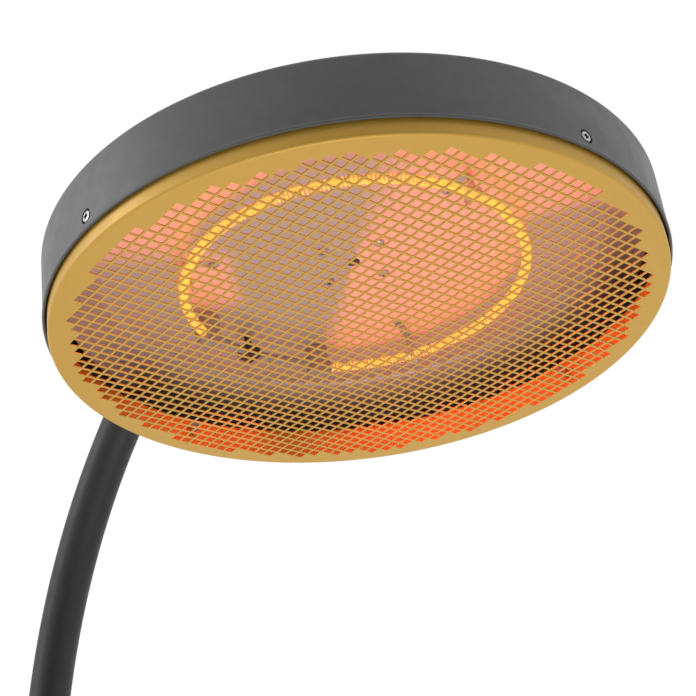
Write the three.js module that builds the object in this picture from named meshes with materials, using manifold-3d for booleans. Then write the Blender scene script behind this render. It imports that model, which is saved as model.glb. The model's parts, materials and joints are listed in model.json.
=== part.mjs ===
// A free-standing outdoor heater: a flat round heating head hung under the end of an arched pole.
// Millimetres, +Z up. X runs from the pole towards the front, and the arch lies in the XZ plane.
// The origin is on the floor at the centre of the round base.
import * as THREE from "three";
import { mergeVertices } from "three/addons/utils/BufferGeometryUtils.js";
import Module from "manifold-3d";

const wasm = await Module();
wasm.setup();

// ---------------------------------------------------------------- driving dimensions

const GAP = 0.3; // between pieces that touch
const RUNNING_GAP = 0.5; // radial, round what turns or slides
const HOLE_PLAY = 0.5; // radial, round a screw

const HEAD_RADIUS = 265;
const SHELL_HEIGHT = 60;
const SHELL_WALL = 1.5;
const SHELL_EDGE_RADIUS = 5;
const HEM_WIDTH = 2.6;
const HEM_HEIGHT = 3;

const SKIRT_GAP = 2.5; // between the shell's wall and the grille's skirt
const GRILLE_DROP = 12.5; // how far the grille's face hangs below the shell's hem
const GRILLE_SHEET = 1.5;
const GRILLE_SKIRT = 36;
const GRILLE_EDGE_RADIUS = 2;
const GRILLE_BORDER = 24; // solid rim outside the open field
const CELL_PITCH = 40; // four pitches of the real 10 mm perforation in one cell
const CELL_HOLE = 32;
const SIDE_SCREW_LIFT = 11.5; // above the shell's hem
const SIDE_SCREW_HEAD = 5.2;
const SIDE_SCREW_HEAD_HEIGHT = 2.8;
const SIDE_SCREW_SHANK = 2.6;
const SIDE_SCREW_LENGTH = 16;
const SIDE_SCREW_SINK = 0.1; // its face below the shell's wall
const NUT_BORE = 3.1; // all five are radii of the clinch nuts
const NUT_MOUTH = 4.9;
const NUT_BARREL = 4.6;
const NUT_HOLE = 5;
const NUT_FLANGE = 7;
const NUT_LENGTH = 10; // inside the grille's skirt
const NUT_PLAY = 0.2;
const NUT_WEB = 0.4; // between the nut's mouth and its bore
const QUARTER_TURNS = [0, 90, 180, 270];
const CUT_PAST = 10; // how far a cutting tool runs past what it cuts

const REFLECTOR_SHEET = 1;
const REFLECTOR_MARGIN = 11.5; // between the grille's skirt and the reflector's rim
const REFLECTOR_FLARE = 25; // how far the rim stands outside the flat part
const REFLECTOR_DEPTH = 32;
const REFLECTOR_ROUND = 4; // of its corner, on the flat
const INSULATION = 1.4;

const LAMP_RADIUS = 148;
const LAMP_TUBE = 11;
const LAMP_WALL = 1;
const LAMP_HANG = 21.5; // from the reflector's underside to the lamp's centreline
const LAMP_STEPS = 28;
const LAMP_SIDES = 10;
const LAMP_GAP_HALF_ANGLE = 26; // degrees, each side of the pole's direction
const FILAMENT_DIAMETER = 4;
const FILAMENT_SIDES = 6;
const HOLDER_SIZE = 18;
const HOLDER_GRIP = 6;
const HOLDER_FLOOR = 3; // below the lamp's tube
const HOLDER_PLAY = 1.4; // radial, round the lamp's end
const CLIP_ANGLES = [0, 120, 240];
const CLIP_WIDTH = 8;
const CLIP_SHEET = 1;
const CLIP_REACH = 26; // from the lamp's centreline inwards to the clip's screw
const CLIP_FOOT_END = 6; // past the clip's screw
const CLIP_SCREW_HEAD = 4;
const CLIP_SCREW_HEIGHT = 2;
const CLIP_SCREW_SHANK = 2;
const LEAD_DIAMETER = 7; // over its sleeve
const LEAD_SIDES = 8;
const LEAD_SAG = 1;
const LEAD_CLEAR = 0.6; // of the block's and the holder's size, from their middles
const LEAD_BLOCK_SIZE = 16;
const LEAD_BLOCK_HEIGHT = 26;
const LEAD_BLOCK_RADIUS = LAMP_RADIUS;
const LEAD_BLOCK_ANGLE = 183;

const STEM_RADIUS = 14;
const STEM_LENGTH = 85.5; // from the shell's top to the tilt axis
const STEM_FLANGE_RADIUS = 48;
const STEM_FLANGE = 5;
const STEM_BORE_RADIUS = 6;
const FLANGE_SCREW_CIRCLE = 34.7;
const FLANGE_SCREW_HEAD = 5;
const FLANGE_SCREW_HEIGHT = 2.4;
const FLANGE_SCREW_SHANK = 2.4;
const NECK_SPACE = 6; // from the post's end to the lug
const NECK_OVERLAP = 3; // of the neck and the post
const NECK_WIDTH = 18;
const POST_END = 12; // solid end of the post above its bore
const CANOPY_RADIUS = 80;
const CANOPY_HEIGHT = 28;
const CANOPY_SHEET = 1.2;
const CANOPY_EDGE = 6;
const TERMINAL_BLOCK = [18, 34, 16];
const TERMINAL_SPACE = 4; // from the stem's flange
const COLLAR_HEIGHT = 8;
const COLLAR_WALL = 6;

const REST_TILT = 10.6; // degrees, front edge up
const LUG_RADIUS = 13;
const LUG_WIDTH = 16.6;
const WASHER_THICKNESS = 1.1;
const WASHER_RADIUS = 11;
const EAR_THICKNESS = 6;
const EAR_RADIUS = 14;
const PIVOT_CLEARANCE = 3.8; // between the knuckle's barrel and the lug
const KNUCKLE_LENGTH = 46;
const KNUCKLE_ROUND = 6;
const PLUG_LENGTH = 30;
const TILT_BOLT_RADIUS = 4;
const TILT_BOLT_HEAD = 7;
const TILT_BOLT_HEIGHT = 5;
const TILT_BOLT_END = 1.5; // past the nut
const TILT_NUT_RADIUS = 7.5; // over its corners
const TILT_NUT_HEIGHT = 6;
const HEX = 6;

const TUBE_DIAMETER = 42.4;
const TUBE_WALL = 2;
const BEND_RADIUS = 499;
const BEND_ANGLE = 85; // degrees turned from upright at the arch's end
const BEND_START = 1700;
const POLE_X = -170;
const JOINT_HEIGHT = 1150;
const JOINER_LENGTH = 160;
const JOINER_WALL = 2;
const JOINER_SCREW_PLACE = 0.3; // of the joiner's length, each side of the joint
const JOINER_SCREW_HEAD = 2.3;
const JOINER_SCREW_HEIGHT = 0.4;
const JOINER_SCREW_SHANK = 2.1;
const JOINER_SCREW_HOLE = 2.6;
const ARCH_STEPS = 20;
const CABLE_STEPS = 12;
const CABLE_SIDES = 8;
const CABLE_END = 0.9; // of the bend
const CABLE_START = 30; // above the gland
const CABLE_DIAMETER = 8;
const CABLE_PLAY = 2.6; // between the cable and the joiner's bore

const BASE_RADIUS = 280;
const BASE_THICKNESS = 15;
const BASE_CHAMFER = 2;
const PAD_THICKNESS = 3;
const PAD_INSET = 10;
const SOCKET_FLANGE_EDGE = 14; // from the screws' circle to the flange's edge
const SOCKET_FLANGE = 8;
const SOCKET_WALL = 6.4;
const SOCKET_HEIGHT = 80;
const SOCKET_SCREW_SPACE = 18.1; // from the socket's collar to the screws' circle
const SOCKET_FILLET = 3;
const SOCKET_SCREW_ANGLES = [45, 135, 225, 315];
const SOCKET_SCREW_RADIUS = 4;
const SOCKET_SCREW_HEAD = 7;
const SOCKET_SCREW_HEIGHT = 4.4;
const SOCKET_SCREW_FLOOR = 3; // of the plate under the screw's end
const SET_SCREW_PLACE = 0.6; // of the socket's height
const SET_SCREW_RADIUS = 3.5;
const GLAND_HEIGHT = 175;
const GLAND_RADIUS = 8;
const GLAND_FLANGE = 13;
const GLAND_SADDLE = 6; // proud of the tube
const GLAND_BODY = 8;
const GLAND_NUT = 15;
const GLAND_NUT_TAPER = 6;
const GLAND_NUT_MOUTH = 8;
const GLAND_INSIDE = 4; // inside the tube's bore

const SWITCH_BELOW_JOINT = 100;
const SWITCH_BODY_RADIUS = 8.5;
const SWITCH_BEZEL_RADIUS = 11;
const SWITCH_BEZEL_STANDS = 3;
const SWITCH_DEPTH = 18;
const BUTTON_RADIUS = 6;
const BUTTON_STANDS = 1.6;
const BUTTON_LENGTH = 9;
const BUTTON_EDGE = 0.6;
const BUTTON_SPACE = 3; // under the button, in its well

const ROUND = 48; // sides of the large round pieces
const ROUND_SMALL = 16;
const ROUND_SCREW = 10;
const ROUND_HOLE = 12;
const TUBE_SIDES = 20;

// ---------------------------------------------------------------- places worked out from them

const tubeRadius = TUBE_DIAMETER / 2;
const tubeBore = tubeRadius - TUBE_WALL;
const tubeBoreFlats = tubeBore * Math.cos(Math.PI / TUBE_SIDES); // across the flats of its polygon
const joinerRadius = tubeBoreFlats - GAP;
const joinerBore = joinerRadius - JOINER_WALL;
const cableOffset = joinerBore - CABLE_PLAY - CABLE_DIAMETER / 2; // towards the tube's back
const bendTurn = THREE.MathUtils.degToRad(BEND_ANGLE);
const bendEnd = new THREE.Vector3(
  POLE_X + BEND_RADIUS * (1 - Math.cos(bendTurn)),
  0,
  BEND_START + BEND_RADIUS * Math.sin(bendTurn),
);
const pivotDrop = tubeRadius + PIVOT_CLEARANCE + LUG_RADIUS; // below the tube's centreline
const pivotOffset = new THREE.Vector3(KNUCKLE_LENGTH / 2, 0, -pivotDrop); // in the knuckle's frame

// Heights in the head are measured up from the grille's face.
const shellBottom = GRILLE_DROP;
const shellTop = GRILLE_DROP + SHELL_HEIGHT;
const shellCeiling = shellTop - SHELL_WALL;
const pivotHeight = shellTop + STEM_LENGTH;
const grilleRadius = HEAD_RADIUS - SHELL_WALL - SKIRT_GAP;
const reflectorRim = grilleRadius - GRILLE_SHEET - REFLECTOR_MARGIN - REFLECTOR_SHEET;
const reflectorFlat = reflectorRim - REFLECTOR_FLARE;
const insulationTop = shellCeiling - GAP;
const reflectorTop = insulationTop - INSULATION - GAP;
const reflectorUnder = reflectorTop - REFLECTOR_SHEET;
const lampHeight = reflectorUnder - LAMP_HANG;
const sideScrewHeight = shellBottom + SIDE_SCREW_LIFT;
const lampStart = THREE.MathUtils.degToRad(180 + LAMP_GAP_HALF_ANGLE);
const lampEnd = THREE.MathUtils.degToRad(540 - LAMP_GAP_HALF_ANGLE);

const baseBottom = PAD_THICKNESS + GAP;
const baseTop = baseBottom + BASE_THICKNESS;
const socketBottom = baseTop + GAP;
const socketCollar = tubeRadius + GAP + SOCKET_WALL;
const socketScrewCircle = socketCollar + SOCKET_SCREW_SPACE;
const socketFlangeRadius = socketScrewCircle + SOCKET_FLANGE_EDGE;
const poleBottom = socketBottom + SOCKET_FLANGE + GAP;
const switchHeight = JOINT_HEIGHT - SWITCH_BELOW_JOINT;

// ---------------------------------------------------------------- finishes

function finish(color, roughness, metalness) {
  return new THREE.MeshStandardMaterial({ color, roughness, metalness });
}

const darkPaint = finish(0x2e2f31, 0.45, 0.3);
const goldPaint = finish(0xc7a04d, 0.4, 0.4);
const polished = finish(0xb9b2aa, 0.25, 0.9);
const steel = finish(0xa5a7a9, 0.35, 0.9);
const quartz = finish(0xf2d27a, 0.1, 0);
const glowing = finish(0xffb030, 0.5, 0);
const ceramic = finish(0xe6e0d4, 0.8, 0);
const fibre = finish(0xd9d4c8, 0.95, 0);
const rubber = finish(0x161616, 0.9, 0);
const plastic = finish(0x1d1e20, 0.6, 0);

// ---------------------------------------------------------------- solids

function toSolid(geometry) {
  const bare = geometry.index ? geometry.toNonIndexed() : geometry.clone();
  const positions = new THREE.BufferGeometry();
  positions.setAttribute("position", bare.getAttribute("position"));
  const merged = mergeVertices(positions, 1e-4);
  return new wasm.Manifold(
    new wasm.Mesh({
      numProp: 3,
      vertProperties: merged.attributes.position.array,
      triVerts: new Uint32Array(merged.index.array),
    }),
  );
}

function toGeometry(solid) {
  const mesh = solid.getMesh();
  const geometry = new THREE.BufferGeometry();
  const positions = new Float32Array(mesh.numVert * 3);
  for (let i = 0; i < mesh.numVert; i++) {
    const start = i * mesh.numProp;
    positions.set(mesh.vertProperties.subarray(start, start + 3), i * 3);
  }
  geometry.setAttribute("position", new THREE.BufferAttribute(positions, 3));
  geometry.setIndex(new THREE.BufferAttribute(new Uint32Array(mesh.triVerts), 1));
  return geometry;
}

/** The first geometry with every other one cut away. */
function cut(body, ...tools) {
  return toGeometry(tools.reduce((solid, tool) => solid.subtract(toSolid(tool)), toSolid(body)));
}

/** Several geometries that run into each other, joined into one. */
function join(...bodies) {
  return toGeometry(bodies.map(toSolid).reduce((all, solid) => all.add(solid)));
}

/** A solid of revolution about Z. The outline is a closed THREE.Shape of radius and height. */
function turned(outline, sides = ROUND) {
  let points = outline.getPoints(2);
  if (THREE.ShapeUtils.isClockWise(points)) points = points.reverse();
  const first = points[0];
  const last = points[points.length - 1];
  if (first.distanceTo(last) > 1e-6) points.push(first.clone());
  return new THREE.LatheGeometry(points, sides).rotateX(Math.PI / 2);
}

/** A closed outline through corners given as [radius, height] pairs. */
function outline(...corners) {
  return new THREE.Shape(corners.map(([x, y]) => new THREE.Vector2(x, y)));
}

/** A ring or disc between two heights. */
function ring(innerRadius, outerRadius, bottom, top, sides = ROUND) {
  return turned(
    outline(
      [innerRadius, bottom],
      [outerRadius, bottom],
      [outerRadius, top],
      [innerRadius, top],
    ),
    sides,
  );
}

/** A plain round bar along Z. */
function rod(radius, bottom, top, sides = ROUND_SMALL) {
  const bar = new THREE.CylinderGeometry(radius, radius, top - bottom, sides);
  return bar.rotateX(Math.PI / 2).translate(0, 0, (bottom + top) / 2);
}

/** A block given by its centre and its size. */
function block(x, y, z, width, depth, height) {
  return new THREE.BoxGeometry(width, depth, height).translate(x, y, z);
}

/** Turns a geometry built along Z so that it points along X, or along Y. */
function alongX(geometry) {
  return geometry.rotateY(Math.PI / 2);
}
function alongY(geometry) {
  return geometry.rotateX(-Math.PI / 2);
}

/** A copy of a geometry turned about Z by an angle in degrees. */
function aboutZ(geometry, degrees) {
  return geometry.clone().rotateZ(THREE.MathUtils.degToRad(degrees));
}

/** A line of stations, each a point and its direction, so that a straight run takes one long step. */
class StationLine extends THREE.Curve {
  constructor(stations) {
    super();
    this.stations = stations;
  }
  getPoint(t, target = new THREE.Vector3()) {
    const place = t * (this.stations.length - 1);
    const k = Math.min(Math.floor(place), this.stations.length - 2);
    return target.lerpVectors(this.stations[k].point, this.stations[k + 1].point, place - k);
  }
  getUtoTmapping(u) {
    return u;
  }
  getTangent(t, target = new THREE.Vector3()) {
    return target.copy(this.stations[Math.round(t * (this.stations.length - 1))].direction);
  }
}

/** A tube, or a bar where there is no bore, along a line of stations. */
function swept(stations, radius, boreRadius, sides) {
  const section = new THREE.Shape().absarc(0, 0, radius, 0, 2 * Math.PI);
  if (boreRadius > 0) section.holes.push(new THREE.Path().absarc(0, 0, boreRadius, 0, 2 * Math.PI));
  return new THREE.ExtrudeGeometry(section, {
    steps: stations.length - 1,
    curveSegments: sides / 2,
    extrudePath: new StationLine(stations),
  });
}

// ---------------------------------------------------------------- the assembly

const heater = new THREE.Group();
const archEnd = new THREE.Group(); // its origin is the end of the tube, with X along the tube
archEnd.position.copy(bendEnd);
archEnd.rotation.y = bendTurn - Math.PI / 2;
heater.add(archEnd);
archEnd.updateMatrix();
const tiltingHead = new THREE.Group(); // its origin is the tilt axis
tiltingHead.position.copy(pivotOffset).applyMatrix4(archEnd.matrix);
tiltingHead.rotation.y = -THREE.MathUtils.degToRad(REST_TILT);
const head = new THREE.Group(); // its origin is the centre of the grille's face
head.position.z = -pivotHeight;
tiltingHead.add(head);
heater.add(tiltingHead);

function add(group, name, geometry, material) {
  const mesh = new THREE.Mesh(geometry, material);
  mesh.name = name;
  group.add(mesh);
  return mesh;
}

/** A screw along Z with its head's top at 0 and its shank going down. */
function panScrew(headRadius, headHeight, shankRadius, length) {
  return turned(
    outline(
      [0, -length],
      [shankRadius, -length],
      [shankRadius, -headHeight],
      [headRadius, -headHeight],
      [headRadius, -headHeight * 0.4],
      [headRadius * 0.7, 0],
      [0, 0],
    ),
    ROUND_SCREW,
  );
}

function countersunkScrew(headRadius, headHeight, shankRadius, length) {
  return turned(
    outline(
      [0, -length],
      [shankRadius, -length],
      [shankRadius, -headHeight],
      [headRadius, 0],
      [0, 0],
    ),
    ROUND_SCREW,
  );
}

// ---------------------------------------------------------------- base

function addBase() {
  add(heater, "floor_pad", ring(0, BASE_RADIUS - PAD_INSET, 0, PAD_THICKNESS), rubber);

  const screwDepth = SOCKET_FLANGE + BASE_THICKNESS - SOCKET_SCREW_FLOOR;
  const screwHole = rod(SOCKET_SCREW_RADIUS + HOLE_PLAY, baseTop - BASE_THICKNESS + 1, socketBottom + 2 * CUT_PAST);
  const screwPlaces = SOCKET_SCREW_ANGLES.map((angle) =>
    new THREE.Vector3(socketScrewCircle, 0, 0).applyAxisAngle(
      new THREE.Vector3(0, 0, 1),
      THREE.MathUtils.degToRad(angle),
    ),
  );
  const screwHoles = screwPlaces.map((place) => screwHole.clone().translate(place.x, place.y, 0));

  const plate = turned(
    outline(
      [0, baseBottom],
      [BASE_RADIUS, baseBottom],
      [BASE_RADIUS, baseTop - BASE_CHAMFER],
      [BASE_RADIUS - BASE_CHAMFER, baseTop],
      [0, baseTop],
    ),
  );
  const plateHoles = screwHoles.map((hole) => hole.clone().translate(POLE_X, 0, 0));
  add(heater, "base_plate", cut(plate, ...plateHoles), darkPaint);

  const bore = tubeRadius + GAP;
  const collar = socketCollar;
  const flangeTop = socketBottom + SOCKET_FLANGE;
  const socketTop = flangeTop + SOCKET_HEIGHT;
  const setScrewHeight = flangeTop + SOCKET_HEIGHT * SET_SCREW_PLACE;
  const socket = turned(
    outline(
      [0, socketBottom],
      [socketFlangeRadius, socketBottom],
      [socketFlangeRadius, flangeTop - 1],
      [socketFlangeRadius - 1, flangeTop],
      [collar + SOCKET_FILLET, flangeTop],
      [collar, flangeTop + SOCKET_FILLET],
      [collar, socketTop - 1],
      [collar - 1, socketTop],
      [bore, socketTop],
      [bore, flangeTop],
      [0, flangeTop],
    ),
    2 * ROUND_SMALL,
  );
  const setHole = alongY(rod(SET_SCREW_RADIUS + GAP, -2 * collar, 2 * collar)).translate(0, 0, setScrewHeight);
  const socketMesh = add(heater, "pole_socket", cut(socket, ...screwHoles, setHole), darkPaint);
  socketMesh.position.x = POLE_X;

  screwPlaces.forEach((place, i) => {
    const screw = panScrew(
      SOCKET_SCREW_HEAD,
      SOCKET_SCREW_HEIGHT,
      SOCKET_SCREW_RADIUS,
      SOCKET_SCREW_HEIGHT + screwDepth,
    );
    const mesh = add(heater, `socket_screw_${i + 1}`, screw, steel);
    mesh.position.set(POLE_X + place.x, place.y, flangeTop + GAP + SOCKET_SCREW_HEIGHT);
  });

  [-1, 1].forEach((side, i) => {
    const screw = alongY(rod(SET_SCREW_RADIUS, bore + GAP, collar - GAP, ROUND_HOLE));
    if (side < 0) screw.rotateZ(Math.PI);
    const mesh = add(heater, `set_screw_${i + 1}`, screw, steel);
    mesh.position.set(POLE_X, 0, setScrewHeight);
  });
}

// ---------------------------------------------------------------- pole

/** Stations of a line that runs up beside the pole's axis and round the bend. */
function poleStations(bottom, offset, turn, steps) {
  const up = new THREE.Vector3(0, 0, 1);
  const stations = [{ point: new THREE.Vector3(POLE_X - offset, 0, bottom), direction: up }];
  const radius = BEND_RADIUS + offset;
  for (let i = 0; i <= steps; i++) {
    const angle = (turn * i) / steps;
    stations.push({
      point: new THREE.Vector3(
        POLE_X + BEND_RADIUS - radius * Math.cos(angle),
        0,
        BEND_START + radius * Math.sin(angle),
      ),
      direction: new THREE.Vector3(Math.sin(angle), 0, Math.cos(angle)),
    });
  }
  return stations;
}

function addPole() {
  const lower = ring(tubeBore, tubeRadius, poleBottom, JOINT_HEIGHT, TUBE_SIDES * 2);
  const glandHole = alongX(rod(GLAND_RADIUS + HOLE_PLAY, -2 * tubeRadius, 0)).translate(0, 0, GLAND_HEIGHT);
  const switchHole = alongX(rod(SWITCH_BODY_RADIUS + HOLE_PLAY, 0, 2 * tubeRadius)).translate(0, 0, switchHeight);
  const joinHeights = [-1, 1].map((side) => JOINT_HEIGHT + side * JOINER_LENGTH * JOINER_SCREW_PLACE);
  const screwTool = alongX(rod(JOINER_SCREW_HOLE, -2 * tubeRadius, -tubeBore / 2, ROUND_HOLE));
  const joinHoles = joinHeights.map((height) => screwTool.clone().translate(0, 0, height));

  const lowerMesh = add(heater, "pole_lower", cut(lower, glandHole, switchHole, joinHoles[0]), darkPaint);
  lowerMesh.position.x = POLE_X;

  const archStations = poleStations(JOINT_HEIGHT + GAP, 0, bendTurn, ARCH_STEPS);
  const arch = swept(archStations, tubeRadius, tubeBore, TUBE_SIDES);
  const archHole = joinHoles[1].clone().translate(POLE_X, 0, 0);
  add(heater, "pole_arch", cut(arch, archHole), darkPaint);

  const joiner = ring(
    joinerBore,
    joinerRadius,
    JOINT_HEIGHT - JOINER_LENGTH / 2,
    JOINT_HEIGHT + JOINER_LENGTH / 2,
    TUBE_SIDES * 2,
  );
  const joinerMesh = add(heater, "pole_joiner", cut(joiner, ...joinHoles), steel);
  joinerMesh.position.x = POLE_X;

  joinHeights.forEach((height, i) => {
    const screw = countersunkScrew(
      JOINER_SCREW_HEAD,
      JOINER_SCREW_HEIGHT,
      JOINER_SCREW_SHANK,
      TUBE_WALL + JOINER_WALL + 2,
    );
    const mesh = add(heater, `joiner_screw_${i + 1}`, screw.rotateY(-Math.PI / 2), steel);
    mesh.position.set(POLE_X - tubeRadius, 0, height);
  });

  const cableStart = GLAND_HEIGHT + CABLE_START;
  const cable = poleStations(cableStart, cableOffset, bendTurn * CABLE_END, CABLE_STEPS);
  add(heater, "supply_cable", swept(cable, CABLE_DIAMETER / 2, 0, CABLE_SIDES), rubber);
}

function addGland() {
  const seat = tubeRadius + GAP;
  const saddleFace = tubeRadius + GLAND_SADDLE;
  const bodyFace = saddleFace + GLAND_BODY;
  const nutFace = bodyFace + GLAND_NUT;
  const cableBore = CABLE_DIAMETER / 2 + GAP;
  const poleCore = rod(seat, -2 * GLAND_FLANGE, 2 * GLAND_FLANGE, TUBE_SIDES * 2);

  const saddle = alongX(ring(GLAND_RADIUS + GAP, GLAND_FLANGE, tubeRadius / 2, saddleFace, 2 * ROUND_SMALL));
  const body = join(
    ring(cableBore, GLAND_RADIUS, tubeBore - GLAND_INSIDE, bodyFace - 1, ROUND_SMALL),
    ring(cableBore, GLAND_FLANGE, saddleFace + GAP, bodyFace, HEX),
  );
  const nut = turned(
    outline(
      [cableBore, bodyFace + GAP],
      [GLAND_FLANGE - 1, bodyFace + GAP],
      [GLAND_FLANGE - 1, nutFace - GLAND_NUT_TAPER],
      [GLAND_NUT_MOUTH, nutFace],
      [cableBore, nutFace],
    ),
    ROUND_SMALL,
  );
  const pieces = [
    ["gland_saddle", cut(saddle, poleCore), rubber],
    ["gland_body", alongX(body), plastic],
    ["gland_nut", alongX(nut), plastic],
  ];
  for (const [name, geometry, material] of pieces) {
    const mesh = add(heater, name, geometry.rotateZ(Math.PI), material);
    mesh.position.set(POLE_X, 0, GLAND_HEIGHT);
  }
}

function addSwitch() {
  const seat = tubeRadius + GAP;
  const bezelFace = tubeRadius + SWITCH_BEZEL_STANDS;
  const bore = BUTTON_RADIUS + RUNNING_GAP;
  const poleCore = rod(seat, -2 * SWITCH_BEZEL_RADIUS, 2 * SWITCH_BEZEL_RADIUS, TUBE_SIDES * 2);
  const bezel = cut(
    alongX(rod(SWITCH_BEZEL_RADIUS, tubeRadius / 2, bezelFace, 2 * ROUND_SMALL)),
    poleCore,
  );
  const body = alongX(rod(SWITCH_BODY_RADIUS, bezelFace - SWITCH_DEPTH, bezelFace - 1, 2 * ROUND_SMALL));
  const wellFloor = bezelFace + BUTTON_STANDS - BUTTON_LENGTH - BUTTON_SPACE;
  const well = alongX(rod(bore, wellFloor, bezelFace + 1, 2 * ROUND_SMALL));
  const housing = add(heater, "switch_housing", cut(join(bezel, body), well), steel);
  housing.position.set(POLE_X, 0, switchHeight);

  const button = turned(
    outline(
      [0, bezelFace + BUTTON_STANDS - BUTTON_LENGTH],
      [BUTTON_RADIUS, bezelFace + BUTTON_STANDS - BUTTON_LENGTH],
      [BUTTON_RADIUS, bezelFace + BUTTON_STANDS - BUTTON_EDGE],
      [BUTTON_RADIUS - BUTTON_EDGE, bezelFace + BUTTON_STANDS],
      [0, bezelFace + BUTTON_STANDS],
    ),
    2 * ROUND_SMALL,
  );
  const buttonMesh = add(heater, "push_button", alongX(button), steel);
  buttonMesh.position.set(POLE_X, 0, switchHeight);
}

// ---------------------------------------------------------------- tilt knuckle

function addKnuckle() {
  const lugHalf = LUG_WIDTH / 2;
  const washerOut = lugHalf + GAP + WASHER_THICKNESS;
  const earIn = washerOut + GAP;
  const earOut = earIn + EAR_THICKNESS;
  const boltHole = TILT_BOLT_RADIUS + RUNNING_GAP;

  const bendRise = PLUG_LENGTH ** 2 / (2 * BEND_RADIUS); // what the tube curves away from a straight plug
  const plug = alongX(rod(tubeBoreFlats - GAP - bendRise, -PLUG_LENGTH, GAP * 2, ROUND_SMALL));
  const barrelOutline = outline(
    [0, GAP],
    [tubeRadius, GAP],
    [tubeRadius, KNUCKLE_LENGTH - KNUCKLE_ROUND],
    [tubeRadius - 2, KNUCKLE_LENGTH - 2],
    [tubeRadius - KNUCKLE_ROUND, KNUCKLE_LENGTH],
    [0, KNUCKLE_LENGTH],
  );
  const barrel = alongX(turned(barrelOutline, 2 * ROUND_SMALL));
  const ears = [-1, 1].map((side) => {
    const middle = (side * (earIn + earOut)) / 2;
    const eye = alongY(rod(EAR_RADIUS, -EAR_THICKNESS / 2, EAR_THICKNESS / 2, 2 * ROUND_SMALL));
    const arm = block(0, 0, pivotDrop / 2, 2 * EAR_RADIUS, EAR_THICKNESS, pivotDrop);
    return join(eye, arm).translate(KNUCKLE_LENGTH / 2, middle, -pivotDrop);
  });
  const crossHole = alongY(rod(boltHole, -2 * earOut, 2 * earOut, ROUND_SMALL));
  crossHole.translate(KNUCKLE_LENGTH / 2, 0, -pivotDrop);
  const knuckle = cut(join(plug, barrel, ...ears), crossHole);
  add(archEnd, "arch_knuckle", knuckle, darkPaint);

  const onAxis = (name, geometry, material) =>
    add(archEnd, name, alongY(geometry), material).position.copy(pivotOffset);

  const nutTop = earOut + GAP + TILT_NUT_HEIGHT;
  const headBottom = -earOut - GAP - TILT_BOLT_HEIGHT;
  const boltEnd = nutTop + TILT_BOLT_END;
  const bolt = turned(
    outline(
      [0, headBottom],
      [TILT_BOLT_HEAD - 1, headBottom],
      [TILT_BOLT_HEAD, headBottom + 1],
      [TILT_BOLT_HEAD, -earOut - GAP],
      [TILT_BOLT_RADIUS, -earOut - GAP],
      [TILT_BOLT_RADIUS, boltEnd],
      [0, boltEnd],
    ),
    ROUND_SMALL,
  );
  onAxis("tilt_bolt", bolt, steel);
  const thread = rod(TILT_BOLT_RADIUS + GAP, 0, 2 * nutTop, ROUND_SMALL);
  onAxis("tilt_nut", cut(rod(TILT_NUT_RADIUS, earOut + GAP, nutTop, HEX), thread), steel);
  [-1, 1].forEach((side, i) => {
    const washer = ring(TILT_BOLT_RADIUS + RUNNING_GAP, WASHER_RADIUS, lugHalf + GAP, washerOut, ROUND_SMALL);
    if (side < 0) washer.rotateX(Math.PI);
    onAxis(`friction_washer_${i + 1}`, washer, plastic);
  });
}

// ---------------------------------------------------------------- head: shell, grille, screws

function flangeHoles() {
  const hole = rod(FLANGE_SCREW_SHANK + HOLE_PLAY, 0, 2 * shellTop, ROUND_HOLE);
  hole.translate(FLANGE_SCREW_CIRCLE, 0, 0);
  return QUARTER_TURNS.map((angle) => aboutZ(hole, angle));
}

function addShell() {
  const outer = HEAD_RADIUS;
  const inner = HEAD_RADIUS - SHELL_WALL;
  const innerEdge = SHELL_EDGE_RADIUS - SHELL_WALL;
  const section = new THREE.Shape();
  section.moveTo(0, shellTop);
  section.lineTo(0, shellCeiling);
  section.lineTo(inner - innerEdge, shellCeiling);
  section.absarc(inner - innerEdge, shellCeiling - innerEdge, innerEdge, Math.PI / 2, 0, true);
  section.lineTo(inner, shellBottom + HEM_HEIGHT);
  section.lineTo(outer - HEM_WIDTH, shellBottom + HEM_HEIGHT);
  section.lineTo(outer - HEM_WIDTH, shellBottom);
  section.lineTo(outer, shellBottom);
  section.lineTo(outer, shellTop - SHELL_EDGE_RADIUS);
  section.absarc(
    outer - SHELL_EDGE_RADIUS,
    shellTop - SHELL_EDGE_RADIUS,
    SHELL_EDGE_RADIUS,
    0,
    Math.PI / 2,
    false,
  );
  const sideHole = alongX(rod(SIDE_SCREW_HEAD + HOLE_PLAY, inner - CUT_PAST, outer + CUT_PAST));
  sideHole.translate(0, 0, sideScrewHeight);
  const sideHoles = QUARTER_TURNS.map((angle) => aboutZ(sideHole, angle));
  const cableHole = rod(STEM_BORE_RADIUS, shellCeiling - CUT_PAST, shellTop + CUT_PAST);
  const shell = cut(turned(section), ...sideHoles, ...flangeHoles(), cableHole);
  add(head, "head_shell", shell, darkPaint);
}

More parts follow.
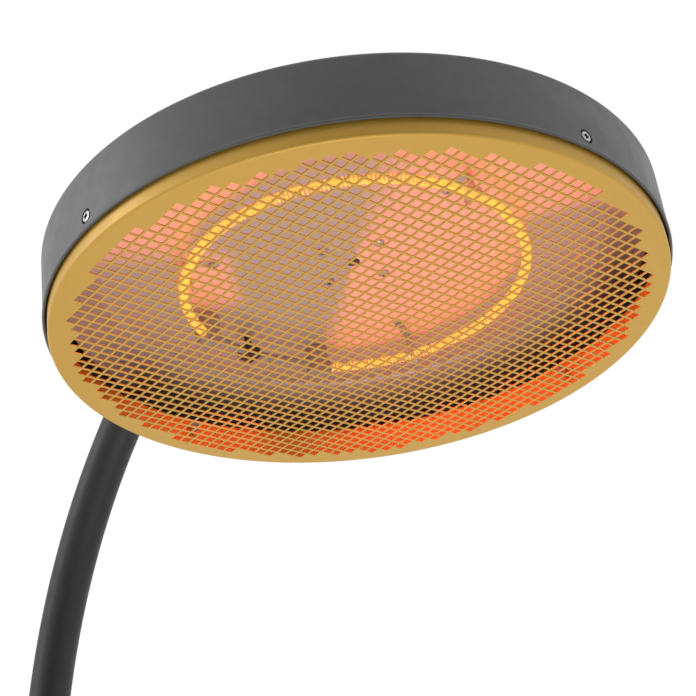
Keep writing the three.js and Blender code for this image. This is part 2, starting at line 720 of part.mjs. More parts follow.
function addGrille() {
  const inner = grilleRadius - GRILLE_SHEET;
  const edge = GRILLE_EDGE_RADIUS;
  const section = new THREE.Shape();
  section.moveTo(0, GRILLE_SHEET);
  section.lineTo(0, 0);
  section.lineTo(grilleRadius - edge, 0);
  section.absarc(grilleRadius - edge, edge, edge, -Math.PI / 2, 0, false);
  section.lineTo(grilleRadius, GRILLE_SKIRT);
  section.lineTo(inner, GRILLE_SKIRT);
  section.lineTo(inner, GRILLE_SHEET);

  // The open field is one sheet of square cells, kept where the whole cell is inside the border.
  const field = grilleRadius - GRILLE_BORDER;
  const half = CELL_HOLE / 2;
  const reach = Math.ceil(field / CELL_PITCH);
  const cells = [];
  for (let i = -reach; i <= reach; i++) {
    for (let j = -reach; j <= reach; j++) {
      const farCorner = Math.hypot(Math.abs(i * CELL_PITCH) + half, Math.abs(j * CELL_PITCH) + half);
      if (farCorner > field) continue;
      cells.push(block(i * CELL_PITCH, j * CELL_PITCH, 0, CELL_HOLE, CELL_HOLE, 2 * GRILLE_SHEET + 1));
    }
  }
  const nutHole = alongX(rod(NUT_HOLE, inner - CUT_PAST, grilleRadius + CUT_PAST));
  nutHole.translate(0, 0, sideScrewHeight);
  const nutHoles = QUARTER_TURNS.map((angle) => aboutZ(nutHole, angle));
  add(head, "grille", cut(turned(section), ...cells, ...nutHoles), goldPaint);
}

function addSideScrews() {
  const seatOut = HEAD_RADIUS - SHELL_WALL - GAP;
  const seatIn = grilleRadius + GAP;
  const nutIn = grilleRadius - NUT_LENGTH;
  const flatten = Math.cos(Math.PI / ROUND); // the round pieces are polygons
  const nutOut = seatOut * flatten - NUT_PLAY;
  QUARTER_TURNS.forEach((turn, i) => {
    const nut = turned(
      outline(
        [NUT_BORE, nutIn],
        [NUT_BARREL, nutIn],
        [NUT_BARREL, seatIn],
        [NUT_FLANGE, seatIn],
        [NUT_FLANGE, nutOut],
        [NUT_MOUTH, nutOut],
        [NUT_BORE, seatIn - NUT_WEB],
      ),
      ROUND_SCREW,
    );
    const screw = countersunkScrew(
      SIDE_SCREW_HEAD,
      SIDE_SCREW_HEAD_HEIGHT,
      SIDE_SCREW_SHANK,
      SIDE_SCREW_LENGTH,
    );
    const place = (name, geometry, material) => {
      const mesh = add(head, name, alongX(geometry), material);
      mesh.rotation.z = THREE.MathUtils.degToRad(turn);
      mesh.position.z = sideScrewHeight;
      return mesh;
    };
    place(`clinch_nut_${i + 1}`, nut, steel);
    place(`side_screw_${i + 1}`, screw.translate(0, 0, HEAD_RADIUS - SIDE_SCREW_SINK), steel);
  });
}

// ---------------------------------------------------------------- head: reflector and lamp

function addReflector() {
  const flat = reflectorFlat;
  const rim = reflectorRim;
  const sheet = REFLECTOR_SHEET;
  const bottom = reflectorUnder - REFLECTOR_DEPTH;
  const pan = turned(
    outline(
      [0, reflectorUnder],
      [flat - REFLECTOR_ROUND, reflectorUnder],
      [flat, reflectorUnder - REFLECTOR_ROUND / 2],
      [rim, bottom],
      [rim + sheet, bottom],
      [flat + sheet, reflectorUnder - 1],
      [flat + sheet - REFLECTOR_ROUND, reflectorTop],
      [0, reflectorTop],
    ),
  );
  const centreHole = rod(STEM_BORE_RADIUS, reflectorUnder - CUT_PAST, reflectorTop + CUT_PAST);
  add(head, "reflector", cut(pan, centreHole, ...flangeHoles()), polished);

  const board = ring(STEM_BORE_RADIUS, flat - REFLECTOR_ROUND, insulationTop - INSULATION, insulationTop);
  add(head, "insulation_disc", cut(board, ...flangeHoles()), fibre);
}

function lampStations(steps) {
  const stations = [];
  for (let i = 0; i <= steps; i++) {
    const angle = THREE.MathUtils.lerp(lampStart, lampEnd, i / steps);
    stations.push({
      point: new THREE.Vector3(LAMP_RADIUS * Math.cos(angle), LAMP_RADIUS * Math.sin(angle), lampHeight),
      direction: new THREE.Vector3(-Math.sin(angle), Math.cos(angle), 0),
    });
  }
  return stations;
}

function addLamp() {
  const stations = lampStations(LAMP_STEPS);
  const tubeOuter = LAMP_TUBE / 2;
  add(head, "quartz_ring", swept(stations, tubeOuter, tubeOuter - LAMP_WALL, LAMP_SIDES), quartz);
  add(head, "filament", swept(stations, FILAMENT_DIAMETER / 2, 0, FILAMENT_SIDES), glowing);

  // A ceramic holder at each end of the ring, hung from the reflector.
  const gripTurn = (HOLDER_SIZE / 2 - HOLDER_GRIP) / LAMP_RADIUS;
  const top = reflectorUnder - GAP;
  const bottom = lampHeight - tubeOuter - HOLDER_FLOOR;
  [lampStart - gripTurn, lampEnd + gripTurn].forEach((angle, i) => {
    const side = i === 0 ? 1 : -1;
    const body = block(0, 0, (top + bottom) / 2, HOLDER_SIZE - 2, HOLDER_SIZE, top - bottom);
    const socket = rod(tubeOuter + HOLDER_PLAY, 0, HOLDER_SIZE, ROUND_SMALL);
    const socketDepth = HOLDER_SIZE / 2 - HOLDER_GRIP - 1;
    alongY(socket).translate(0, socketDepth, 0);
    if (side < 0) socket.rotateZ(Math.PI);
    socket.translate(0, 0, lampHeight);
    const mesh = add(head, `lamp_holder_${i + 1}`, cut(body, socket), ceramic);
    mesh.position.set(LAMP_RADIUS * Math.cos(angle), LAMP_RADIUS * Math.sin(angle), 0);
    mesh.rotation.z = angle;
  });
}

function addClips() {
  const inner = LAMP_TUBE / 2 + 2 * GAP;
  const outer = inner + CLIP_SHEET;
  const footTop = reflectorUnder - GAP;
  const footLength = CLIP_REACH + CLIP_FOOT_END;
  CLIP_ANGLES.forEach((angle, i) => {
    // Built at the lamp's centreline, with X pointing outwards and Y along the lamp.
    const hoop = alongY(ring(inner, outer, -CLIP_WIDTH / 2, CLIP_WIDTH / 2, ROUND_SMALL));
    const mouth = block(0, 0, -outer, outer, 2 * CLIP_WIDTH, outer);
    const post = block(
      0,
      0,
      (outer + footTop - lampHeight - CLIP_SHEET / 2) / 2,
      CLIP_SHEET,
      CLIP_WIDTH,
      footTop - lampHeight - outer + CLIP_SHEET / 2,
    );
    const foot = block(
      -footLength / 2 + CLIP_SHEET / 2,
      0,
      footTop - lampHeight - CLIP_SHEET / 2,
      footLength,
      CLIP_WIDTH,
      CLIP_SHEET,
    );
    const hole = rod(CLIP_SCREW_SHANK + GAP, 0, 2 * LAMP_HANG, ROUND_HOLE).translate(-CLIP_REACH, 0, 0);
    const clip = cut(join(cut(hoop, mouth), post, foot), hole);
    const place = new THREE.Group();
    place.rotation.z = THREE.MathUtils.degToRad(angle);
    head.add(place);
    add(place, `lamp_clip_${i + 1}`, clip, steel).position.set(LAMP_RADIUS, 0, lampHeight);

    const length = CLIP_SCREW_HEIGHT + CLIP_SHEET + GAP / 2;
    const screw = panScrew(CLIP_SCREW_HEAD, CLIP_SCREW_HEIGHT, CLIP_SCREW_SHANK, length).rotateX(Math.PI);
    const screwMesh = add(place, `clip_screw_${i + 1}`, screw, steel);
    screwMesh.position.set(LAMP_RADIUS - CLIP_REACH, 0, footTop - CLIP_SHEET - GAP - CLIP_SCREW_HEIGHT);
  });
}

function addLeads() {
  const angle = THREE.MathUtils.degToRad(LEAD_BLOCK_ANGLE);
  const centre = new THREE.Vector3(Math.cos(angle), Math.sin(angle), 0).multiplyScalar(LEAD_BLOCK_RADIUS);
  const z = reflectorUnder - GAP - LEAD_BLOCK_HEIGHT / 2;
  const body = block(0, 0, z, LEAD_BLOCK_SIZE, LEAD_BLOCK_SIZE, LEAD_BLOCK_HEIGHT);
  const blockMesh = add(head, "lead_block", body, ceramic);
  blockMesh.position.set(centre.x, centre.y, 0);
  blockMesh.rotation.z = angle;

  const holderTurn = (HOLDER_SIZE / 2 - HOLDER_GRIP) / LAMP_RADIUS;
  [lampStart - holderTurn, lampEnd + holderTurn].forEach((end, i) => {
    const holder = new THREE.Vector3(Math.cos(end), Math.sin(end), 0).multiplyScalar(LAMP_RADIUS);
    const along = holder.clone().sub(centre).normalize();
    const start = centre.clone().addScaledVector(along, LEAD_BLOCK_SIZE * LEAD_CLEAR).setZ(z);
    const stop = holder.clone().addScaledVector(along, -HOLDER_SIZE * LEAD_CLEAR).setZ(z);
    const middle = start.clone().add(stop).multiplyScalar(0.5);
    middle.z -= LEAD_SAG;
    const line = new THREE.CatmullRomCurve3([start, middle, stop]);
    const stations = [0, 1 / 4, 1 / 2, 3 / 4, 1].map((t) => ({
      point: line.getPoint(t),
      direction: line.getTangent(t),
    }));
    add(head, `lamp_lead_${i + 1}`, swept(stations, LEAD_DIAMETER / 2, 0, LEAD_SIDES), fibre);
  });
}

// ---------------------------------------------------------------- head: stem and canopy

function addStem() {
  const flangeBottom = shellTop + GAP;
  const flangeTop = flangeBottom + STEM_FLANGE;
  const neckTop = pivotHeight - LUG_RADIUS - NECK_SPACE;
  const post = turned(
    outline(
      [STEM_BORE_RADIUS, flangeBottom],
      [STEM_FLANGE_RADIUS, flangeBottom],
      [STEM_FLANGE_RADIUS, flangeTop],
      [STEM_RADIUS, flangeTop],
      [STEM_RADIUS, neckTop - 2],
      [STEM_RADIUS - 2, neckTop],
      [0, neckTop],
      [0, neckTop - POST_END],
      [STEM_BORE_RADIUS, neckTop - POST_END],
    ),
    2 * ROUND_SMALL,
  );
  const neckBottom = neckTop - NECK_OVERLAP;
  const neckMiddle = (neckBottom + pivotHeight) / 2;
  const neck = block(0, 0, neckMiddle, NECK_WIDTH, LUG_WIDTH, pivotHeight - neckBottom);
  const lug = alongY(rod(LUG_RADIUS, -LUG_WIDTH / 2, LUG_WIDTH / 2, 2 * ROUND_SMALL));
  lug.translate(0, 0, pivotHeight);
  const eye = alongY(rod(TILT_BOLT_RADIUS + RUNNING_GAP, -LUG_WIDTH, LUG_WIDTH, ROUND_SMALL));
  eye.translate(0, 0, pivotHeight);
  add(head, "head_stem", cut(join(post, neck, lug), eye, ...flangeHoles()), darkPaint);

  QUARTER_TURNS.forEach((turn, i) => {
    const length = FLANGE_SCREW_HEIGHT + flangeTop - reflectorUnder + GAP;
    const screw = panScrew(FLANGE_SCREW_HEAD, FLANGE_SCREW_HEIGHT, FLANGE_SCREW_SHANK, length);
    screw.rotateX(Math.PI);
    const mesh = add(head, `flange_screw_${i + 1}`, screw, steel);
    const angle = THREE.MathUtils.degToRad(turn);
    mesh.position.set(
      FLANGE_SCREW_CIRCLE * Math.cos(angle),
      FLANGE_SCREW_CIRCLE * Math.sin(angle),
      reflectorUnder - GAP - FLANGE_SCREW_HEIGHT,
    );
  });
}

function addCanopy() {
  const bottom = shellTop + GAP;
  const top = bottom + CANOPY_HEIGHT;
  const edge = CANOPY_EDGE;
  const inner = CANOPY_RADIUS - CANOPY_SHEET;
  const innerEdge = edge - CANOPY_SHEET;
  const hole = STEM_RADIUS + GAP * 2;
  const section = new THREE.Shape();
  section.moveTo(CANOPY_RADIUS, bottom);
  section.lineTo(CANOPY_RADIUS, top - edge);
  section.absarc(CANOPY_RADIUS - edge, top - edge, edge, 0, Math.PI / 2, false);
  section.lineTo(hole, top);
  section.lineTo(hole, top - CANOPY_SHEET);
  section.lineTo(inner - innerEdge, top - CANOPY_SHEET);
  section.absarc(inner - innerEdge, top - edge, innerEdge, Math.PI / 2, 0, true);
  section.lineTo(inner, bottom);
  add(head, "canopy", turned(section, 2 * ROUND_SMALL), darkPaint);

  const collar = ring(hole, hole + COLLAR_WALL, top + GAP, top + GAP + COLLAR_HEIGHT, 2 * ROUND_SMALL);
  add(head, "canopy_collar", collar, darkPaint);

  // The terminal block stands beside the stem's flange, under the canopy.
  const size = new THREE.Vector3(...TERMINAL_BLOCK);
  const offset = STEM_FLANGE_RADIUS + TERMINAL_SPACE + size.x / 2;
  const body = block(-offset, 0, bottom + size.z / 2, size.x, size.y, size.z);
  add(head, "terminal_block", body, ceramic);
}

addBase();
addPole();
addGland();
addSwitch();
addKnuckle();
addShell();
addGrille();
addSideScrews();
addReflector();
addLamp();
addClips();
addLeads();
addStem();
addCanopy();

export default heater;
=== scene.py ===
# %% [markdown]
# # An outdoor heater that hangs from an arched pole
#
# The heater is a flat round head, 530 mm across, with a ring lamp behind a gold perforated grille.
# It hangs in a tilting knuckle under the end of an arched tube, and the tube stands on a round steel base.
#
# The sizes are already settled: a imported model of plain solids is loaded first, and nothing here moves it.
# Each visible piece is then made again as a finer mesh in the same place, because plain 48-sided solids
# and single colours would show at once in a close view.

# %% Load the frame
import json
import math

import bmesh
import bpy
from mathutils import Matrix, Vector, geometry

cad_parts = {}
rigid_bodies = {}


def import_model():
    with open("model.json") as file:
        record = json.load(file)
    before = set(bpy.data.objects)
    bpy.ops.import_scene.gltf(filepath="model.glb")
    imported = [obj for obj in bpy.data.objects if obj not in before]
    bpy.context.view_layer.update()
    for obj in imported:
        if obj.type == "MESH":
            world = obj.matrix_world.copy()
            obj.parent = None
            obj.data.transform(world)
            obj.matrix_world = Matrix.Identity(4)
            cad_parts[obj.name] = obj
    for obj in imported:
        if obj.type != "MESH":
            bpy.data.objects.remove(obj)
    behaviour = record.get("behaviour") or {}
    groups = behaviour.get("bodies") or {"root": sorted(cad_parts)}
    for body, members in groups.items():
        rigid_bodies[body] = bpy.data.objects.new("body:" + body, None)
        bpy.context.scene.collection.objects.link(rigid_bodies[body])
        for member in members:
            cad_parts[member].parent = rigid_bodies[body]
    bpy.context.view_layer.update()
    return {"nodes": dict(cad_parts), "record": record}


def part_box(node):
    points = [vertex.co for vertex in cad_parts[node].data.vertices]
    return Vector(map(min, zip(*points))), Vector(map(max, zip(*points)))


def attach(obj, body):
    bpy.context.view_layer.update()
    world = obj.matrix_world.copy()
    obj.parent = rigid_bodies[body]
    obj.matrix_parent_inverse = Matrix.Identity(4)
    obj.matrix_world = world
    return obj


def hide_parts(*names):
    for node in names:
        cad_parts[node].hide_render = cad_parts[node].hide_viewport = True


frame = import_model()

# %% [markdown]
# ## Two places that everything hangs on
#
# All lengths are written in millimetres and turned into metres by `MM`.
# The head is round about its own axis, but that axis leans, because the head is tilted at rest.
# It is easiest to build each head piece upright about the origin and then lean it with one matrix, `HEAD`.
# Its origin is the middle of the grille's face, and its Z axis points up through the head to the tilt bolt.

# %% The head's own frame
MM = 0.001
HEAD_TILT = math.radians(10.6)
PIVOT_ABOVE_GRILLE = 158 * MM

joints = {joint["name"]: joint for joint in frame["record"]["behaviour"]["joints"]}
PIVOT = Vector(joints["head_tilt"]["pos_m"])
LEAN = Matrix.Rotation(-HEAD_TILT, 4, "Y")
HEAD = Matrix.Translation(PIVOT) @ LEAN @ Matrix.Translation((0, 0, -PIVOT_ABOVE_GRILLE))
print("tilt bolt at", [round(v, 4) for v in PIVOT])
print("grille centre at", [round(v, 4) for v in HEAD.translation])

# %% [markdown]
# ## Camera
#
# The viewer stands in front of the heater, a little to one side, at eye height, and looks up at the head.
# The view is so narrow that only the head and the top of the arch are in it, and a long lens keeps the
# round head from looking stretched. The camera is placed from the middle of the grille, so it follows the
# frame.

# %% Camera
CAMERA_FROM_GRILLE = Vector((843.8, -709.5, -448.5)) * MM
CAMERA_LOOKS = Vector((-0.7196, 0.5912, 0.3644))
LENS = 72.84
SENSOR = 36
NEAREST = 0.01

camera_data = bpy.data.cameras.new("camera")
camera_data.lens = LENS
camera_data.sensor_width = SENSOR
camera_data.clip_start = NEAREST
camera = bpy.data.objects.new("camera", camera_data)
camera.location = HEAD.translation + CAMERA_FROM_GRILLE
camera.rotation_euler = CAMERA_LOOKS.to_track_quat("-Z", "Y").to_euler()
bpy.context.collection.objects.link(camera)
bpy.context.scene.camera = camera
print("camera at", [round(v, 3) for v in camera.location])

# %% [markdown]
# ## Light
#
# A white room lights the heater from every side, which is why its dark paint has pale edges and no hard
# shadows. A dark card behind the viewer keeps the front of the shell and of the tube darker than their
# sides, a soft panel near the floor lights the grille's face from below and another one lights the left
# side of the shell. The floor is pale and plain.
# The standard view transform keeps white white, so that the background stays clean.

# %% White room
ROOM_WHITE = 1.0

scene = bpy.context.scene
scene.view_settings.view_transform = "Standard"
world = bpy.data.worlds.new("white_room")
world.use_nodes = True
world.node_tree.nodes["Background"].inputs["Color"].default_value = (1, 1, 1, 1)
world.node_tree.nodes["Background"].inputs["Strength"].default_value = ROOM_WHITE
scene.world = world
print("view transform:", scene.view_settings.view_transform)


# %% Dark card
def dark_card(name, turn_degrees, distance, wide, tall, height, grey):
    """A dark upright card that only shades: the camera doesn't see it."""
    bpy.ops.mesh.primitive_plane_add(size=1)
    card = bpy.context.object
    card.name = name
    angle = math.radians(turn_degrees)
    away = Vector((math.cos(angle), math.sin(angle), 0))
    card.location = Vector((HEAD.translation.x, HEAD.translation.y, height)) + away * distance
    card.rotation_euler = away.to_track_quat("Z", "Y").to_euler()
    card.scale = (wide, tall, 1)
    paint = bpy.data.materials.new(name)
    paint.use_nodes = True
    bsdf = paint.node_tree.nodes["Principled BSDF"]
    bsdf.inputs["Base Color"].default_value = (grey, grey, grey, 1)
    bsdf.inputs["Roughness"].default_value = 0.9
    card.data.materials.append(paint)
    card.visible_camera = False
    return card


card = dark_card("front_card", -36, 2.2, 3.0, 2.7, 2.55, 0.02)
print("card at", [round(v, 2) for v in card.location])


# %% Soft panels
def soft_panel(name, place, target, size, watts):
    """A square area light at a place, turned to a target and unseen by the camera."""
    data = bpy.data.lights.new(name, "AREA")
    data.size = size
    data.energy = watts
    panel = bpy.data.objects.new(name, data)
    panel.location = place
    panel.rotation_euler = (Vector(target) - Vector(place)).to_track_quat("-Z", "Y").to_euler()
    panel.visible_camera = False
    bpy.context.collection.objects.link(panel)
    return panel


soft_panel("low_panel", (0.55, 0.0, 0.35), HEAD.translation, 0.9, 8)
soft_panel("left_panel", (-1.3, -2.4, 2.7), HEAD.translation, 1.4, 26)
print("panels: low and left")

# %% [markdown]
# ## Making meshes
#
# Nearly everything here is turned or bent from tube, so three helpers make most of it:
# `turn` spins a closed outline about Z, `sweep` carries a section along a path, and `rounded_block` is a
# block with soft edges. An outline is a list of (radius, height) points, with `arc` for its round corners.
# `turn` and `sweep` also write a UV map whose second value runs along the outline or the path in metres,
# so that brushed and braided finishes can follow the piece.


# %% Outlines
def arc(x, y, radius, start, end, steps=6):
    """Points on an arc about (x, y), from one angle to another, in degrees."""
    angles = [math.radians(start + (end - start) * i / steps) for i in range(steps + 1)]
    return [(x + radius * math.cos(a), y + radius * math.sin(a)) for a in angles]


def circle(radius, sides):
    """A round section."""
    return arc(0, 0, radius, 0, 360 - 360 / sides, sides - 1)


print("points in a quarter arc:", len(arc(0, 0, 1, 0, 90)), "and in a round section:", len(circle(1, 12)))


# %% Skin and turning
HERE = Matrix.Identity(4)


def skin(bm, rows, closed_rows, closed_columns):
    """Faces between rows of points that all have the same length."""
    uv = bm.loops.layers.uv.verify()
    grid = [[bm.verts.new(point) for point in row] for row in rows]
    spans = [0.0]
    columns = len(rows[0])
    for j in range(columns):
        step = Vector(rows[0][(j + 1) % columns]) - Vector(rows[0][j])
        spans.append(spans[-1] + step.length)
    for i in range(len(rows) if closed_rows else len(rows) - 1):
        here, there = grid[i], grid[(i + 1) % len(rows)]
        for j in range(columns if closed_columns else columns - 1):
            k = (j + 1) % columns
            face = bm.faces.new((here[j], there[j], there[k], here[k]))
            corners = ((i, j), (i + 1, j), (i + 1, j + 1), (i, j + 1))
            for loop, (row, column) in zip(face.loops, corners):
                loop[uv].uv = (row / len(rows), spans[column])
    return grid


def turn(bm, outline, sides=128, place=HERE):
    """Spins a closed outline of (radius, height) points about Z."""
    rows = []
    for i in range(sides):
        a = 2 * math.pi * i / sides
        rows.append([place @ Vector((r * math.cos(a), r * math.sin(a), z)) for r, z in outline])
    skin(bm, rows, True, True)


print("a turned piece has 128 sides, unless it says otherwise")


# %% Sweeping and blocks
def sweep(bm, stations, section, place=HERE, capped=True):
    """Carries a closed section along stations of (point, direction, sideways)."""
    rows = []
    for point, direction, side in stations:
        other = direction.cross(side)
        rows.append([place @ (point + side * x + other * y) for x, y in section])
    grid = skin(bm, rows, False, True)
    if capped:
        bm.faces.new(grid[0])
        bm.faces.new(list(reversed(grid[-1])))
    return grid


def rounded_block(bm, size, place=HERE, radius=0.8 * MM, steps=3):
    """A block with rounded edges, centred on the place's origin."""
    block = bmesh.new()
    bmesh.ops.create_cube(block, size=1)
    for vert in block.verts:
        vert.co = Vector(a * b for a, b in zip(vert.co, size))
    bmesh.ops.bevel(block, geom=block.edges[:], offset=radius, segments=steps, profile=0.5, affect="EDGES")
    block.transform(place)
    scratch = bpy.data.meshes.new("scratch")
    block.to_mesh(scratch)
    block.free()
    bm.from_mesh(scratch)
    bpy.data.meshes.remove(scratch)


trial = bmesh.new()
rounded_block(trial, (10 * MM, 10 * MM, 10 * MM))
print("faces in a rounded block:", len(trial.faces))
trial.free()

# %% [markdown]
# `finished` turns the working mesh into a piece: it welds the seams, turns the faces outwards, marks the
# edges sharper than 35 degrees and shades the rest smooth. Then it gives the piece its finish, parents it to
# the body it moves with and hides the plain solids it stands in for. `turned` does the whole of it for an
# outline, because most pieces are one turned outline. `carve` cuts holes with closed tool meshes: a boolean
# is the plain way to put a round hole in a curved wall.


# %% Finishing a piece
SHARP = 35


def finished(bm, name, material, body, nodes=(), place=HERE, sharp=SHARP):
    """Makes an object of the mesh, in place, riding on a body and standing for plain solids."""
    bmesh.ops.remove_doubles(bm, verts=bm.verts, dist=1e-6)
    bmesh.ops.dissolve_degenerate(bm, edges=bm.edges, dist=1e-7)
    bmesh.ops.recalc_face_normals(bm, faces=bm.faces)
    mesh = bpy.data.meshes.new(name)
    bm.to_mesh(mesh)
    bm.free()
    mesh.transform(place)
    mesh.shade_smooth()
    mesh.set_sharp_from_angle(angle=math.radians(sharp))
    mesh.materials.append(material)
    piece = bpy.data.objects.new(name, mesh)
    bpy.context.collection.objects.link(piece)
    settle(piece, body, nodes)
    return piece


def settle(piece, body, nodes=()):
    """Parents the piece to its body and hides the plain solids it stands in for."""
    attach(piece, body)
    if nodes:
        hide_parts(*nodes)


def turned(outline, sides, name, material, body, node, place=HERE, sharp=SHARP):
    """A finished piece that is one outline turned about Z."""
    bm = bmesh.new()
    turn(bm, outline, sides)
    return finished(bm, name, material, body, [node], place, sharp)


print("edges sharper than", SHARP, "degrees stay sharp")


# %% Cutting a piece
def combine(piece, shapes, operation, smooth):
    """Joins closed working meshes with a piece for good, one after another."""
    for shape in shapes:
        mesh = bpy.data.meshes.new("shape")
        bmesh.ops.remove_doubles(shape, verts=shape.verts, dist=1e-7)
        bmesh.ops.recalc_face_normals(shape, faces=shape.faces)
        shape.to_mesh(mesh)
        shape.free()
        for face in mesh.polygons:
            face.use_smooth = smooth
        other = bpy.data.objects.new("shape", mesh)
        bpy.context.collection.objects.link(other)
        modifier = piece.modifiers.new("combine", "BOOLEAN")
        modifier.operation = operation
        modifier.object = other
        modifier.solver = "EXACT"
        bpy.context.view_layer.update()
        depsgraph = bpy.context.evaluated_depsgraph_get()
        joined = bpy.data.meshes.new_from_object(piece.evaluated_get(depsgraph))
        piece.modifiers.clear()
        piece.data = joined
        bpy.data.objects.remove(other)
    piece.data.set_sharp_from_angle(angle=math.radians(SHARP))
    return piece


def carve(piece, tools):
    """Cuts closed tool meshes out of a piece."""
    return combine(piece, tools, "DIFFERENCE", False)


print("cuts use the exact solver")

# %% [markdown]
# ## Finishes
#
# Every finish starts from one Principled shader, with its steady values on the shader's own sockets.
# Texture comes from noise read in each piece's own coordinates, which are in metres, so a noise scale of
# 1000 has a grain of about a millimetre. `shader` makes the base, and small helpers add mottling, a
# varying roughness and a bump.


# %% Shader and nodes
def shader(name, color, roughness, metallic=0.0, **sockets):
    """A material with one Principled shader. The name is the record's slot."""
    material = bpy.data.materials.new(name)
    material["slot"] = name
    material.use_nodes = True
    bsdf = material.node_tree.nodes["Principled BSDF"]
    bsdf.inputs["Base Color"].default_value = (*color, 1)
    bsdf.inputs["Roughness"].default_value = roughness
    bsdf.inputs["Metallic"].default_value = metallic
    for socket, value in sockets.items():
        bsdf.inputs[socket.replace("_", " ")].default_value = value
    return material


def add_node(material, kind, **inputs):
    """A node whose inputs are values or other nodes' outputs."""
    tree = material.node_tree
    node = tree.nodes.new(kind)
    for name, value in inputs.items():
        socket = node.inputs[name.replace("_", " ")]
        if isinstance(value, bpy.types.NodeSocket):
            tree.links.new(value, socket)
        else:
            socket.default_value = value
    return node


def coordinates(material, kind="Object"):
    """The piece's own coordinates, or its UV map."""
    return add_node(material, "ShaderNodeTexCoord").outputs[kind]


def noise(material, scale, detail=3.0, vector=None):
    """Grey noise with a grain of about 1 / scale metres."""
    source = vector or coordinates(material)
    node = add_node(material, "ShaderNodeTexNoise", Vector=source, Scale=scale, Detail=detail)
    return node.outputs["Fac"]


print("a finish is made of shader, add_node, coordinates and noise")


# %% Drifting colour, roughness and height
NOISE_LOW = 0.3
NOISE_HIGH = 0.7


def ramp(material, factor, low, high):
    """Takes noise, which keeps near the middle of its range, to a range of its own."""
    node = add_node(material, "ShaderNodeMapRange", Value=factor)
    values = {"From Min": NOISE_LOW, "From Max": NOISE_HIGH, "To Min": low, "To Max": high}
    for socket, value in values.items():
        node.inputs[socket].default_value = value
    return node.outputs["Result"]


def blend_colors(material, factor, first, second):
    """A colour between two, by a grey value."""
    node = material.node_tree.nodes.new("ShaderNodeMix")
    node.data_type = "RGBA"
    sockets = [socket for socket in node.inputs if socket.type == "RGBA"]
    sockets[0].default_value = (*first, 1)
    sockets[1].default_value = (*second, 1)
    material.node_tree.links.new(factor, node.inputs[0])
    return [socket for socket in node.outputs if socket.type == "RGBA"][0]


def plug(material, output, socket):
    """Connects an output to the Principled shader."""
    bsdf = material.node_tree.nodes["Principled BSDF"]
    material.node_tree.links.new(output, bsdf.inputs[socket])


def mottled(material, first, second, scale, detail=3.0):
    """Lets the colour drift between two close tones."""
    factor = ramp(material, noise(material, scale, detail), 0.0, 1.0)
    plug(material, blend_colors(material, factor, first, second), "Base Color")


def rough_between(material, low, high, scale):
    """Lets the roughness drift between two values."""
    plug(material, ramp(material, noise(material, scale, 4.0), low, high), "Roughness")


def bumped(material, height, strength, depth):
    """Raises the surface by a grey height, up to a depth in metres."""
    node = add_node(material, "ShaderNodeBump", Strength=strength, Distance=depth, Height=height)
    plug(material, node.outputs["Normal"], "Normal")


print("noise from", NOISE_LOW, "to", NOISE_HIGH, "is used in full")

# %% [markdown]
# ### Paints
#
# The shell, the stem and the base have a dark grey powder coat. Powder melts into a skin like orange peel,
# with bumps about a millimetre across, and it scatters light more evenly than a sprayed gloss.
# The tube has the same powder in a darker shade. The grille has a satin gold coat with a fine metal flake.


# %% Powder coats
def powder_coat(name, color, roughness):
    """Textured powder paint: orange peel, a little drift in tone and shine."""
    material = shader(name, color, roughness, Specular_IOR_Level=0.5)
    mottled(material, [c * 0.95 for c in color], [c * 1.05 for c in color], 90)
    rough_between(material, roughness - 0.05, roughness + 0.06, 60)
    bumped(material, noise(material, 900, 2.0), 0.18, 0.25 * MM)
    return material


SHELL_GREY = (0.086, 0.086, 0.087)
TUBE_GREY = (0.005, 0.005, 0.0055)

powder = powder_coat("powder_coat", SHELL_GREY, 0.46)
tube_powder = powder_coat("powder_coat", TUBE_GREY, 0.5)
tube_powder.name = "powder_coat_dark"
print("powder coats:", powder.name, tube_powder.name)


# %% Gold coat
GOLD = (0.57, 0.328, 0.048)


def gold_coat():
    """Satin gold paint with a fine flake."""
    material = shader("gold_coat", GOLD, 0.42, 0.25, Specular_IOR_Level=0.5)
    mottled(material, [c * 0.95 for c in GOLD], [c * 1.05 for c in GOLD], 3000, 1.0)
    rough_between(material, 0.36, 0.5, 80)
    bumped(material, noise(material, 1600, 2.0), 0.08, 0.1 * MM)
    return material


gold = gold_coat()
print("gold coat:", gold.name)

# %% [markdown]
# ### Metals
#
# Bare metal shows how it was worked. The reflector is spun aluminium, so its fine lines run round it:
# noise read along the UV map, stretched thin across the outline, gives those lines.
# Screws and nuts are zinc plated, with cloudy patches. The switch is brushed stainless steel.


# %% Spun and plated metals
def spun_metal(name, color, roughness, spread, lines):
    """Metal with fine lines round its axis."""
    material = shader(name, color, roughness, 1.0)
    uv = coordinates(material, "UV")
    stretched = add_node(material, "ShaderNodeMapping", Vector=uv, Scale=(6.0, lines, 1.0))
    grain = noise(material, 1.0, 2.0, stretched.outputs["Vector"])
    plug(material, ramp(material, grain, roughness - spread, roughness + spread), "Roughness")
    bumped(material, grain, 0.12, 0.05 * MM)
    return material


def plated_metal(name, color, roughness):
    """Plated steel with cloudy patches."""
    material = shader(name, color, roughness, 1.0)
    mottled(material, [c * 0.85 for c in color], color, 420)
    rough_between(material, roughness - 0.08, roughness + 0.12, 700)
    bumped(material, noise(material, 2400, 2.0), 0.1, 0.05 * MM)
    return material


